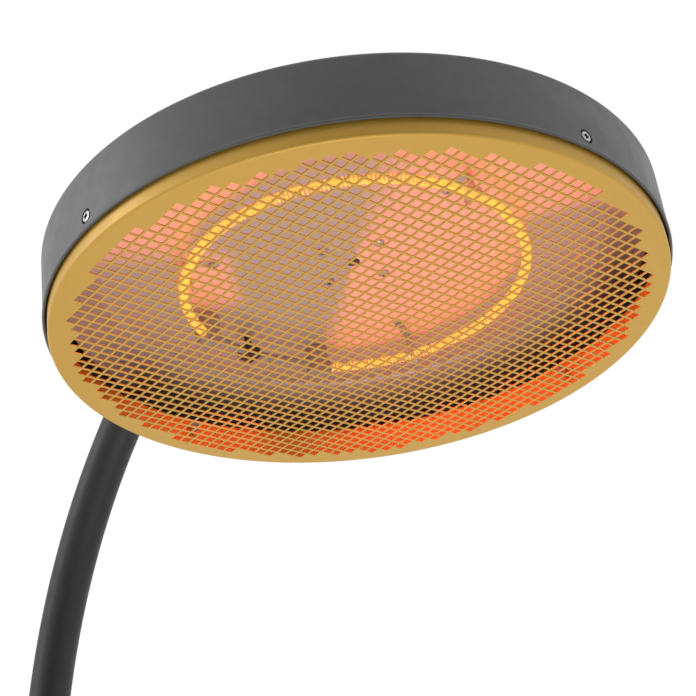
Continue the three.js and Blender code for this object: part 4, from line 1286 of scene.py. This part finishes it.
def sunk_head(head, height, shank, length):
    """A countersunk head with a slightly rounded rim and its top at zero."""
    points = [(0, 0), (head - 0.5 * MM, -0.02 * MM), (head - 0.1 * MM, -0.15 * MM), (head, -0.4 * MM)]
    points += [(shank, -height), (shank, -length), (0, -length)]
    return points


def cross_screw(outline, width, length, depth, sides=40):
    """A screw pattern with a cross recess that is dark inside."""
    return pattern(outline, cross_tools(width, length, depth), sides, (length / 2, depth))


side_screw = cross_screw(sunk_head(4.4 * MM, 2.6 * MM, 2.6 * MM, 14 * MM), 1.9 * MM, 6.6 * MM, 2.2 * MM)
small_screw = cross_screw(dome_head(4 * MM, 2 * MM, 2 * MM, 3 * MM), 0.9 * MM, 4.2 * MM, 1.3 * MM)
flange_screw = cross_screw(dome_head(5 * MM, 2.4 * MM, 2.4 * MM, 12 * MM), 1.1 * MM, 5 * MM, 1.6 * MM)
print("screw patterns:", [len(mesh.polygons) for mesh in (side_screw, small_screw, flange_screw)])

# %% Screws of the head
FLANGE_SCREW_CIRCLE = 34.7 * MM
SCREW_GAP = 0.3 * MM
DOWN = Matrix.Rotation(math.pi, 4, "X")

for number, angle in enumerate(SCREW_TURNS, 1):
    place = HEAD @ side_place(angle) @ Matrix.Translation((0, 0, -0.35 * MM))
    place = place @ Matrix.Rotation(0.5 + number, 4, "Z")
    copy_of(side_screw, f"grille_screw_{number}", dark_steel, "head", f"side_screw_{number}", place)
    around = Matrix.Rotation(math.radians(angle), 4, "Z")
    drop = REFLECTOR_UNDER - SCREW_GAP - 2.4 * MM
    place = HEAD @ around @ Matrix.Translation((FLANGE_SCREW_CIRCLE, 0, drop)) @ DOWN
    place = place @ Matrix.Rotation(0.3 * number, 4, "Z")
    copy_of(flange_screw, f"bracket_screw_{number}", zinc, "head", f"flange_screw_{number}", place)

for number, angle in enumerate(CLIP_TURNS, 1):
    drop = HOLDER_TOP - CLIP_SHEET - SCREW_GAP - 2 * MM - LAMP_HEIGHT
    place = HEAD @ lamp_place(math.radians(angle)) @ Matrix.Translation((-CLIP_REACH, 0, drop)) @ DOWN
    copy_of(small_screw, f"clip_fixing_{number}", zinc, "head", f"clip_screw_{number}", place)
print("screws of the head:", 2 * len(SCREW_TURNS) + len(CLIP_TURNS))

# %% [markdown]
# ## Leads inside the head
#
# Two sleeved leads run from a ceramic block to the ends of the lamp. They sag a little between the two.
# The block hangs from the reflector on a narrow strip.
# Each lead is a round section swept along a curve through three points.

# %% Lead block
BLOCK_TURN = math.radians(183)
BLOCK = 16 * MM
BLOCK_HEIGHT = 10 * MM
BLOCK_MIDDLE = 50.5 * MM
HANGER_WIDTH = 8 * MM
HANGER_SHEET = 1 * MM

block_middle = Vector((math.cos(BLOCK_TURN), math.sin(BLOCK_TURN), 0)) * LAMP_RADIUS
block_middle.z = BLOCK_MIDDLE
block_place = Matrix.Translation(block_middle) @ Matrix.Rotation(BLOCK_TURN, 4, "Z")
work = bmesh.new()
rounded_block(work, (BLOCK, BLOCK, BLOCK_HEIGHT), block_place, 1.2 * MM)
hanger_height = HOLDER_TOP - BLOCK_MIDDLE
hanger_place = block_place @ Matrix.Translation((0, 0, hanger_height / 2))
rounded_block(work, (HANGER_SHEET, HANGER_WIDTH, hanger_height), hanger_place, 0.3 * MM)
for side in (-1, 1):
    spot = block_place @ Matrix.Translation((0, side * BLOCK / 4, -BLOCK_HEIGHT / 2))
    turn(work, ring_outline(1.6 * MM, 2.6 * MM, -0.4 * MM, 0.4 * MM, 0.2 * MM), 24, spot)
junction = finished(work, "lead_junction", dark_ceramic, "head", ["lead_block"], HEAD)
print("lead block:", len(junction.data.polygons), "faces")

# %% Leads
LEAD_RADIUS = 3.5 * MM
LEAD_SAG = 1 * MM


def bent_line(points, steps):
    """Stations along a smooth curve through three points."""
    a, b, c = points
    bend = b * 2 - (a + c) / 2
    stations = []
    for i in range(steps + 1):
        t = i / steps
        spot = a * (1 - t) ** 2 + bend * 2 * t * (1 - t) + c * t * t
        direction = ((bend - a) * (1 - t) + (c - bend) * t).normalized()
        stations.append((spot, direction, direction.cross(UP).normalized()))
    return stations


for number, angle in enumerate(LAMP_ENDS, 1):
    end = Vector((math.cos(angle), math.sin(angle), 0)) * LAMP_RADIUS
    end.z = block_middle.z
    along = (end - block_middle).normalized()
    start = block_middle + along * BLOCK * 0.5
    stop = end - along * HOLDER * 0.5
    middle = (start + stop) / 2 - UP * LEAD_SAG
    work = bmesh.new()
    sweep(work, bent_line((start, middle, stop), 16), circle(LEAD_RADIUS, 12))
    finished(work, f"sleeved_lead_{number}", fibre, "head", [f"lamp_lead_{number}"], HEAD)
    print("lead", number, "spans", round((stop - start).length / MM, 1), "mm")

# %% [markdown]
# ## Stem and canopy
#
# The stem carries the head: a flange under the canopy, a round post, and a flat lug that the tilt bolt goes
# through. It is one welded piece, so its parts are united into one skin. The canopy is a spun cap over the
# flange and the terminals, with a ring of small vents, and a collar with a set screw holds it down.

# %% Shapes to weld
def united(piece, shapes):
    """Adds closed shapes to a piece, so that one skin is left."""
    return combine(piece, shapes, "UNION", True)


def block_shape(size, place, radius=0.8 * MM):
    """A closed block with soft edges, ready to unite."""
    shape = bmesh.new()
    rounded_block(shape, size, place, radius)
    return shape


def disc_shape(radius, width, place, soft=0.8 * MM, sides=48):
    """A short round bar with soft edges, ready to unite."""
    half = width / 2
    shape = bmesh.new()
    outline = [(0, -half), (radius - soft, -half), (radius, -half + soft), (radius, half - soft)]
    turn(shape, outline + [(radius - soft, half), (0, half)], sides, place)
    return shape


print("welded pieces are made of soft-edged blocks and discs")

# %% Stem
STEM_RADIUS = 14 * MM
FLANGE_RADIUS = 48 * MM
FLANGE_LOW = SHELL_TOP + 0.3 * MM
FLANGE_HIGH = FLANGE_LOW + 5 * MM
FILLET = 2.5 * MM
SOFT = 0.8 * MM
NECK_WIDTH = 18 * MM
NECK_SUNK = 3 * MM
LUG_RADIUS = 13 * MM
LUG_WIDTH = 16.6 * MM
NECK_TOP = PIVOT_ABOVE_GRILLE - LUG_RADIUS - 6 * MM
ACROSS = Matrix.Rotation(math.radians(-90), 4, "X")
BOLT_RADIUS = 4 * MM


def bolt_hole(place, reach):
    """The tool for the tilt bolt's hole, with some room round the bolt."""
    return round_tool(BOLT_RADIUS + 0.4 * MM, BOLT_RADIUS + 0.4 * MM, -reach, reach, place)


outline = [(BORE, FLANGE_LOW), (FLANGE_RADIUS, FLANGE_LOW), (FLANGE_RADIUS, FLANGE_HIGH - SOFT)]
outline += [(FLANGE_RADIUS - SOFT, FLANGE_HIGH), (STEM_RADIUS + FILLET, FLANGE_HIGH)]
outline += [(STEM_RADIUS, FLANGE_HIGH + FILLET)]
outline += arc(STEM_RADIUS - FILLET, NECK_TOP - FILLET, FILLET, 0, 90, 6)
outline += [(0, NECK_TOP), (0, NECK_TOP - 12 * MM), (BORE, NECK_TOP - 12 * MM)]
stem = turned(outline, 72, "stem", powder, "head", "head_stem")
at_pivot = Matrix.Translation((0, 0, PIVOT_ABOVE_GRILLE))
neck_low = NECK_TOP - NECK_SUNK
neck_middle = Matrix.Translation((0, 0, (neck_low + PIVOT_ABOVE_GRILLE) / 2))
neck = block_shape((NECK_WIDTH, LUG_WIDTH, PIVOT_ABOVE_GRILLE - neck_low), neck_middle, 1 * MM)
united(stem, [neck, disc_shape(LUG_RADIUS, LUG_WIDTH, at_pivot @ ACROSS, SOFT, 64)])
carve(stem, [bolt_hole(at_pivot @ ACROSS, 20 * MM)])
stem.data.transform(HEAD)
print("stem:", len(stem.data.polygons), "faces")

# %% Canopy
CANOPY_RADIUS = 80 * MM
CANOPY_TOP = FLANGE_LOW + 28 * MM
CANOPY_SHEET = 1.2 * MM
CANOPY_EDGE = 6 * MM
CANOPY_HOLE = STEM_RADIUS + 0.6 * MM
VENTS = 20
VENT = (8 * MM, 3 * MM, 12 * MM)
VENT_HEIGHT = 13 * MM

outline = [(CANOPY_RADIUS, FLANGE_LOW)]
outline += arc(CANOPY_RADIUS - CANOPY_EDGE, CANOPY_TOP - CANOPY_EDGE, CANOPY_EDGE, 0, 90, 10)
outline += [(CANOPY_HOLE, CANOPY_TOP), (CANOPY_HOLE, CANOPY_TOP - CANOPY_SHEET)]
inner_edge = CANOPY_EDGE - CANOPY_SHEET
outline += arc(CANOPY_RADIUS - CANOPY_EDGE, CANOPY_TOP - CANOPY_EDGE, inner_edge, 90, 0, 8)
outline += [(CANOPY_RADIUS - CANOPY_SHEET, FLANGE_LOW)]
canopy = turned(outline, 160, "spun_canopy", powder, "head", "canopy")
slots = bmesh.new()
for i in range(VENTS):
    around = Matrix.Rotation(2 * math.pi * (i + 0.5) / VENTS, 4, "Z")
    spot = around @ Matrix.Translation((CANOPY_RADIUS, 0, FLANGE_LOW + VENT_HEIGHT))
    rounded_block(slots, VENT, spot, 1.4 * MM, 3)
carve(canopy, [slots])
canopy.data.transform(HEAD)
print("canopy:", len(canopy.data.polygons), "faces")

# %% Collar
COLLAR_RADIUS = CANOPY_HOLE + 6 * MM
COLLAR_LOW = CANOPY_TOP + 0.3 * MM
COLLAR_HIGH = COLLAR_LOW + 8 * MM
ALONG = Matrix.Rotation(math.radians(90), 4, "Y")

outline = ring_outline(CANOPY_HOLE, COLLAR_RADIUS, COLLAR_LOW, COLLAR_HIGH)
collar = turned(outline, 72, "canopy_clamp_collar", powder, "head", "canopy_collar")
collar_face = Matrix.Translation((COLLAR_RADIUS, 0, (COLLAR_LOW + COLLAR_HIGH) / 2))
collar_side = Matrix.Rotation(math.pi, 4, "Z") @ collar_face @ ALONG
carve(collar, [round_tool(2 * MM, 2 * MM, -3 * MM, 1 * MM, collar_side, 24)])
collar.data.transform(HEAD)
print("collar:", len(collar.data.polygons), "faces")

# %% [markdown]
# ## The arched pole
#
# The pole is a 42.4 mm tube in two lengths, with a sleeve inside the joint between them. The lower one is
# straight. The upper one goes on upright and then bends through 85 degrees at one radius, so a section
# swept along straight and round stations gives it exactly. A tube bender leaves such a tube smooth.

# %% Pole
low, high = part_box("pole_lower")
POLE_X = (low[0] + high[0]) / 2
TUBE_RADIUS = (high[0] - low[0]) / 2
TUBE_BORE = TUBE_RADIUS - 2 * MM
POLE_FOOT, POLE_JOINT = low[2], high[2]
BEND_RADIUS = 499 * MM
BEND_ANGLE = math.radians(85)
ARCH_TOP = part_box("pole_arch")[1][2]
BEND_START = ARCH_TOP - (BEND_RADIUS + TUBE_RADIUS) * math.sin(BEND_ANGLE)
SIDEWAYS = Vector((0, 1, 0))


def bend_station(angle):
    """A station of the bend, at an angle from upright."""
    x = POLE_X + BEND_RADIUS * (1 - math.cos(angle))
    z = BEND_START + BEND_RADIUS * math.sin(angle)
    return Vector((x, 0, z)), Vector((math.sin(angle), 0, math.cos(angle))), SIDEWAYS


def upright(low_z, high_z, steps):
    """Stations up a straight stretch of the pole."""
    heights = [low_z + (high_z - low_z) * i / steps for i in range(steps + 1)]
    return [(Vector((POLE_X, 0, z)), UP, SIDEWAYS) for z in heights]


work = bmesh.new()
hollow_sweep(work, upright(POLE_FOOT, POLE_JOINT, 12), TUBE_RADIUS, TUBE_BORE, 72)
finished(work, "lower_tube", tube_powder, "stand", ["pole_lower"])
work = bmesh.new()
stations = upright(POLE_JOINT + 0.3 * MM, BEND_START - 10 * MM, 8)
stations += [bend_station(BEND_ANGLE * i / 64) for i in range(65)]
hollow_sweep(work, stations, TUBE_RADIUS, TUBE_BORE, 72)
finished(work, "arched_tube", tube_powder, "stand", ["pole_arch"])
print("tube radius", round(TUBE_RADIUS, 4), "bend starts at", round(BEND_START, 4))

# %% [markdown]
# ## The tilt knuckle
#
# A solid barrel is plugged into the end of the tube. Two ears hang from it and hold the lug of the stem
# between two friction washers, with one bolt through all of them. Tightening the bolt is what keeps the
# head at its angle. Barrel and ears are one casting, so they are united, with small soft edges.

# %% Knuckle
KNUCKLE = 46 * MM
PIVOT_DROP = TUBE_RADIUS + 3.8 * MM + LUG_RADIUS
EAR_IN = LUG_WIDTH / 2 + 1.7 * MM
EAR_OUT = EAR_IN + 6 * MM
EAR_RADIUS = 14 * MM
NOSE = 7 * MM
LEAN_OF_END = Matrix.Rotation(BEND_ANGLE - math.pi / 2, 4, "Y")
ARCH_END = Matrix.Translation(bend_station(BEND_ANGLE)[0]) @ LEAN_OF_END

barrel = [(0, 0.3 * MM), (TUBE_RADIUS - 0.6 * MM, 0.3 * MM), (TUBE_RADIUS, 0.9 * MM)]
barrel += arc(TUBE_RADIUS - NOSE, KNUCKLE - NOSE, NOSE, 0, 90, 10) + [(0, KNUCKLE)]
work = bmesh.new()
turn(work, barrel, 72, ALONG)
knuckle = finished(work, "knuckle", tube_powder, "stand", ["arch_knuckle"])
shapes = [disc_shape(TUBE_BORE - 1.6 * MM, 30 * MM, Matrix.Translation((-14.5 * MM, 0, 0)) @ ALONG)]
for side in (-1, 1):
    middle = side * (EAR_IN + EAR_OUT) / 2
    eye = Matrix.Translation((KNUCKLE / 2, middle, -PIVOT_DROP))
    arm = Matrix.Translation((KNUCKLE / 2, middle, -PIVOT_DROP / 2))
    shapes.append(disc_shape(EAR_RADIUS, EAR_OUT - EAR_IN, eye @ ACROSS, SOFT, 64))
    shapes.append(block_shape((2 * EAR_RADIUS, EAR_OUT - EAR_IN, PIVOT_DROP), arm, SOFT))
united(knuckle, shapes)
cross_hole = Matrix.Translation((KNUCKLE / 2, 0, -PIVOT_DROP)) @ ACROSS
carve(knuckle, [bolt_hole(cross_hole, 30 * MM)])
knuckle.data.transform(ARCH_END)
print("knuckle:", len(knuckle.data.polygons), "faces")

# %% Bolt
AT_BOLT = ARCH_END @ cross_hole
BOLT_FACE = EAR_OUT + 0.3 * MM
BOLT_HEAD = 5 * MM
BOLT_END = -2 * BOLT_FACE - 12.5 * MM

outline = [(0, 0), (5.4 * MM, 0), (6.6 * MM, -0.8 * MM), (7 * MM, -1.6 * MM), (7 * MM, -BOLT_HEAD)]
outline += [(BOLT_RADIUS, -BOLT_HEAD), (BOLT_RADIUS, BOLT_END + 1 * MM)]
outline += [(BOLT_RADIUS - 0.8 * MM, BOLT_END), (0, BOLT_END)]
bolt_mesh = pattern(outline, hexagon_tool(5.8 * MM, 2.8 * MM), 48)
bolt_place = AT_BOLT @ DOWN @ Matrix.Translation((0, 0, BOLT_FACE + BOLT_HEAD))
copy_of(bolt_mesh, "tilt_pivot_bolt", zinc, "stand", "tilt_bolt", bolt_place)
print("bolt:", round(-BOLT_END / MM, 1), "mm long")

# %% Nut and washers
NUT_BORE = BOLT_RADIUS + 0.1 * MM
NUT_HEIGHT = 6 * MM
NUT_RADIUS = 7.5 * MM
NUT_CORNER = 6.6 * MM
WASHER_FACE = LUG_WIDTH / 2 + 0.3 * MM
WASHER_RADIUS = 11 * MM

outline = [(NUT_BORE, 0), (NUT_CORNER, 0), (NUT_RADIUS, 0.7 * MM), (NUT_RADIUS, NUT_HEIGHT - 0.7 * MM)]
outline += [(NUT_CORNER, NUT_HEIGHT), (NUT_BORE, NUT_HEIGHT)]
nut_mesh = pattern(outline, [], 6)
nut_mesh.shade_flat()
nut_place = AT_BOLT @ Matrix.Translation((0, 0, BOLT_FACE))
copy_of(nut_mesh, "tilt_lock_nut", zinc, "stand", "tilt_nut", nut_place)
washer = ring_outline(BOLT_RADIUS + 0.5 * MM, WASHER_RADIUS, WASHER_FACE, WASHER_FACE + 1.1 * MM, 0.2 * MM)
for number, flip in ((1, DOWN), (2, HERE)):
    work = bmesh.new()
    turn(work, washer, 48, flip)
    finished(work, f"friction_disc_{number}", nylon, "stand", [f"friction_washer_{number}"], AT_BOLT)
print("nut height", round(NUT_HEIGHT / MM), "mm, washers", round(2 * WASHER_RADIUS / MM), "mm across")

# %% [markdown]
# ## Base, socket and their screws
#
# A heater with its head out to one side needs weight low down. The base is a thick round steel plate with
# a rounded rim, on a rubber pad. A flanged socket bolted to it takes the foot of the pole, and two set
# screws stop the pole from turning. All of these are turned pieces.

# %% Base
pad_low, pad_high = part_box("floor_pad")
plate_low, plate_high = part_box("base_plate")
PAD_RADIUS = (pad_high[0] - pad_low[0]) / 2
PLATE_RADIUS = (plate_high[0] - plate_low[0]) / 2
PLATE_EDGE = 2.5 * MM

outline = [(0, 0), (PAD_RADIUS - 1 * MM, 0), (PAD_RADIUS, 1 * MM), (PAD_RADIUS, pad_high[2])]
turned(outline + [(0, pad_high[2])], 192, "rubber_pad", rubber, "stand", "floor_pad")

outline = [(0, plate_low[2]), (PLATE_RADIUS - 1 * MM, plate_low[2]), (PLATE_RADIUS, plate_low[2] + 1 * MM)]
outline += arc(PLATE_RADIUS - PLATE_EDGE, plate_high[2] - PLATE_EDGE, PLATE_EDGE, 0, 90, 8)
outline += [(PLATE_RADIUS * 0.7, plate_high[2]), (0, plate_high[2])]
turned(outline, 256, "weight_plate", powder, "stand", "base_plate")
print("base:", round(2 * PLATE_RADIUS / MM), "mm across")

# %% Socket
socket_low, socket_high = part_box("pole_socket")
SOCKET_FLANGE_RADIUS = (socket_high[1] - socket_low[1]) / 2
SOCKET_FLANGE_TOP = socket_low[2] + 8 * MM
SOCKET_BORE = TUBE_RADIUS + 0.3 * MM
SOCKET_COLLAR = SOCKET_BORE + 6.4 * MM
SET_SCREW_HEIGHT = SOCKET_FLANGE_TOP + 48 * MM
SOCKET_EDGE = 1.5 * MM
SOCKET_FILLET = 3 * MM
AT_POLE = Matrix.Translation((POLE_X, 0, 0))

outline = [(0, socket_low[2]), (SOCKET_FLANGE_RADIUS, socket_low[2])]
outline += arc(SOCKET_FLANGE_RADIUS - SOCKET_EDGE, SOCKET_FLANGE_TOP - SOCKET_EDGE, SOCKET_EDGE, 0, 90, 5)
outline += arc(SOCKET_COLLAR + SOCKET_FILLET, SOCKET_FLANGE_TOP + SOCKET_FILLET, SOCKET_FILLET, -90, -180, 6)
outline += arc(SOCKET_COLLAR - SOCKET_EDGE, socket_high[2] - SOCKET_EDGE, SOCKET_EDGE, 0, 90, 5)
outline += [(SOCKET_BORE, socket_high[2]), (SOCKET_BORE, SOCKET_FLANGE_TOP), (0, SOCKET_FLANGE_TOP)]
socket = turned(outline, 96, "pole_foot_socket", powder, "stand", "pole_socket")
set_hole = Matrix.Translation((0, 0, SET_SCREW_HEIGHT)) @ ACROSS
carve(socket, [round_tool(3.8 * MM, 3.8 * MM, -0.05, 0.05, set_hole)])
socket.data.transform(AT_POLE)
print("socket:", len(socket.data.polygons), "faces")

# %% Set screws and base screws
outline = [(0, 0), (2.9 * MM, 0), (3.5 * MM, -0.6 * MM), (3.5 * MM, -5.5 * MM), (0, -5.5 * MM)]
set_screw = pattern(outline, hexagon_tool(3.6 * MM, 2.5 * MM), 32)
for number, flip in ((1, DOWN), (2, HERE)):
    place = AT_POLE @ set_hole @ flip @ Matrix.Translation((0, 0, SOCKET_COLLAR - 0.4 * MM))
    copy_of(set_screw, f"socket_set_screw_{number}", dark_steel, "stand", f"set_screw_{number}", place)

outline = [(0, 0), (6.2 * MM, 0), (7 * MM, -0.8 * MM), (7 * MM, -4.4 * MM), (4 * MM, -4.4 * MM)]
outline += [(4 * MM, -22 * MM), (0, -22 * MM)]
cap_screw = pattern(outline, hexagon_tool(6.4 * MM, 2.6 * MM), 48)
for number in range(1, 5):
    screw_low, screw_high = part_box(f"socket_screw_{number}")
    middle = Vector(((screw_low[0] + screw_high[0]) / 2, (screw_low[1] + screw_high[1]) / 2, screw_high[2]))
    place = Matrix.Translation(middle) @ Matrix.Rotation(0.7 * number, 4, "Z")
    copy_of(cap_screw, f"base_screw_{number}", zinc, "stand", f"socket_screw_{number}", place)
print("base screws stand", round((screw_high[2] - SOCKET_FLANGE_TOP) / MM, 1), "mm above the flange")

# %% [markdown]
# ## Cable gland and switch
#
# The supply cable goes into the back of the pole near its foot through a nylon gland: a rubber saddle that
# fits the round tube, a hexagon body and a clamping nut with grip ribs. The cable itself is left out.
# The switch is a stainless push button set in the front of the pole, in easy reach.

# %% Saddle and body
gland_low, gland_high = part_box("gland_saddle")
GLAND_HEIGHT = (gland_low[2] + gland_high[2]) / 2
BACKWARDS = Matrix.Rotation(math.radians(-90), 4, "Y")
AT_GLAND = Matrix.Translation((POLE_X, 0, GLAND_HEIGHT)) @ BACKWARDS
SADDLE_FACE = TUBE_RADIUS + 6 * MM
BODY_FACE = SADDLE_FACE + 8 * MM
NUT_FACE = BODY_FACE + 15 * MM
CABLE_BORE = 4.3 * MM


def pole_tool(place):
    """A round bar as thick as the pole's seat, seen from a piece that sits on the pole."""
    return round_tool(TUBE_RADIUS + 0.15 * MM, TUBE_RADIUS + 0.15 * MM, -0.06, 0.06, place, 72)


outline = ring_outline(8.3 * MM, 13 * MM, TUBE_RADIUS * 0.6, SADDLE_FACE, 0.8 * MM)
saddle = turned(outline, 64, "gland_seat", rubber, "stand", "gland_saddle")
carve(saddle, [pole_tool(ALONG)])
saddle.data.transform(AT_GLAND)

outline = ring_outline(CABLE_BORE, 8 * MM, TUBE_BORE - 4 * MM, BODY_FACE - 1 * MM, 0.3 * MM)
body = turned(outline, 48, "gland_hexagon", nylon, "stand", "gland_body")
hexagon = bmesh.new()
turn(hexagon, ring_outline(CABLE_BORE, 13 * MM, SADDLE_FACE + 0.3 * MM, BODY_FACE, 0.8 * MM), 6)
united(body, [hexagon])
body.data.transform(AT_GLAND)
print("gland body:", len(body.data.polygons), "faces")

# %% Clamping nut
RIBS = 24
RIB_HEIGHT = 0.5 * MM
GRIP_RADIUS = 12 * MM

outline = [(CABLE_BORE, BODY_FACE + 0.3 * MM), (GRIP_RADIUS, BODY_FACE + 0.3 * MM)]
outline += [(GRIP_RADIUS, NUT_FACE - 6 * MM)]
outline += arc(CABLE_BORE + 3.4 * MM, NUT_FACE - 4.4 * MM, 4.4 * MM, 20, 90, 6) + [(CABLE_BORE, NUT_FACE)]
work = bmesh.new()
turn(work, outline, 4 * RIBS)
for vert in work.verts:
    flat = Vector((vert.co.x, vert.co.y))
    if flat.length > GRIP_RADIUS - 0.1 * MM:
        ripple = RIB_HEIGHT * (0.5 - 0.5 * math.cos(RIBS * math.atan2(flat.y, flat.x)))
        vert.co.x *= 1 - ripple / flat.length
        vert.co.y *= 1 - ripple / flat.length
finished(work, "gland_clamp_nut", nylon, "stand", ["gland_nut"], AT_GLAND)
print("clamping nut:", RIBS, "ribs")

# %% Switch bezel
switch_low, switch_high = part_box("switch_housing")
SWITCH_HEIGHT = (switch_low[2] + switch_high[2]) / 2
BEZEL_FACE = switch_high[0] - POLE_X
BEZEL_RADIUS = 11 * MM
BEZEL_EDGE = 1.6 * MM
BARREL_RADIUS = 8.5 * MM
BARREL_END = BEZEL_FACE - 18 * MM
POCKET_FLOOR = BEZEL_FACE - 10.4 * MM
BUTTON_RADIUS = 6 * MM
POCKET_RADIUS = BUTTON_RADIUS + 0.5 * MM
AT_SWITCH = Matrix.Translation((POLE_X, 0, SWITCH_HEIGHT)) @ ALONG

outline = [(POCKET_RADIUS, BEZEL_FACE - 0.4 * MM), (BUTTON_RADIUS + 1.2 * MM, BEZEL_FACE)]
outline += arc(BEZEL_RADIUS - BEZEL_EDGE, BEZEL_FACE - BEZEL_EDGE, BEZEL_EDGE, 90, 0, 6)
outline += [(BEZEL_RADIUS, TUBE_RADIUS * 0.6), (BARREL_RADIUS, TUBE_RADIUS * 0.6)]
outline += [(BARREL_RADIUS, BARREL_END), (0, BARREL_END), (0, POCKET_FLOOR), (POCKET_RADIUS, POCKET_FLOOR)]
bezel = turned(outline, 96, "switch_bezel", stainless, "stand", "switch_housing")
bezel.data.transform(AT_SWITCH)
print("switch height", round(SWITCH_HEIGHT, 3), "m")

# %% Button
BUTTON_OUT = 1.6 * MM
BUTTON_LENGTH = 9 * MM
button_face = BEZEL_FACE + BUTTON_OUT
outline = [(0, button_face - BUTTON_LENGTH), (BUTTON_RADIUS, button_face - BUTTON_LENGTH)]
outline += arc(BUTTON_RADIUS - 0.8 * MM, button_face - 0.8 * MM, 0.8 * MM, 0, 90, 5)
outline += [(BUTTON_RADIUS * 0.6, button_face - 0.05 * MM), (0, button_face - 0.35 * MM)]
turned(outline, 72, "power_button", stainless, "button", "push_button", AT_SWITCH)
print("button stands", BUTTON_OUT / MM, "mm out")

# %% Screws in the pole joint
TUBE_SCREW_CROSS = (0.6 * MM, 2.8 * MM, 0.9 * MM)
tube_screw = pattern(sunk_head(2.4 * MM, 0.6 * MM, 2.1 * MM, 5 * MM), cross_tools(*TUBE_SCREW_CROSS), 28)
for number in (1, 2):
    screw_low, screw_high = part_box(f"joiner_screw_{number}")
    place = Matrix.Translation((screw_low[0], 0, (screw_low[2] + screw_high[2]) / 2)) @ BACKWARDS
    copy_of(tube_screw, f"sleeve_screw_{number}", dark_steel, "stand", f"joiner_screw_{number}", place)
print("pole joint screws at", round(place.translation.z, 3), "m")

# %% [markdown]
# ## Pieces kept from the frame
#
# A few pieces are nearly or wholly hidden inside the tube, the canopy or the shell. Their plain solids are
# the right shape, so they stay and only get a finish.

# %% Repainting kept pieces
KEPT = {"pole_joiner": zinc, "supply_cable": rubber, "terminal_block": ceramic}
KEPT |= {f"clinch_nut_{number}": zinc for number in range(1, 5)}
for node, material in KEPT.items():
    kept = frame["nodes"][node]
    for material_slot in kept.material_slots:
        material_slot.material = material
print("kept:", ", ".join(KEPT))

# %% [markdown]
# ## Floor
#
# The floor is a plain pale disc that only gives the heater something to stand on in views from above.

# %% Floor
FLOOR_SIZE = 12.0
FLOOR_GAP = 0.5 * MM
under = (0, 0, -FLOOR_GAP)
bpy.ops.mesh.primitive_circle_add(vertices=96, radius=FLOOR_SIZE, fill_type="NGON", location=under)
floor = bpy.context.object
floor.name = "pale_floor"
floor_paint = shader("pale_floor", (0.83, 0.83, 0.82), 0.9)
floor.data.materials.append(floor_paint)
print("floor:", 2 * FLOOR_SIZE, "m across")
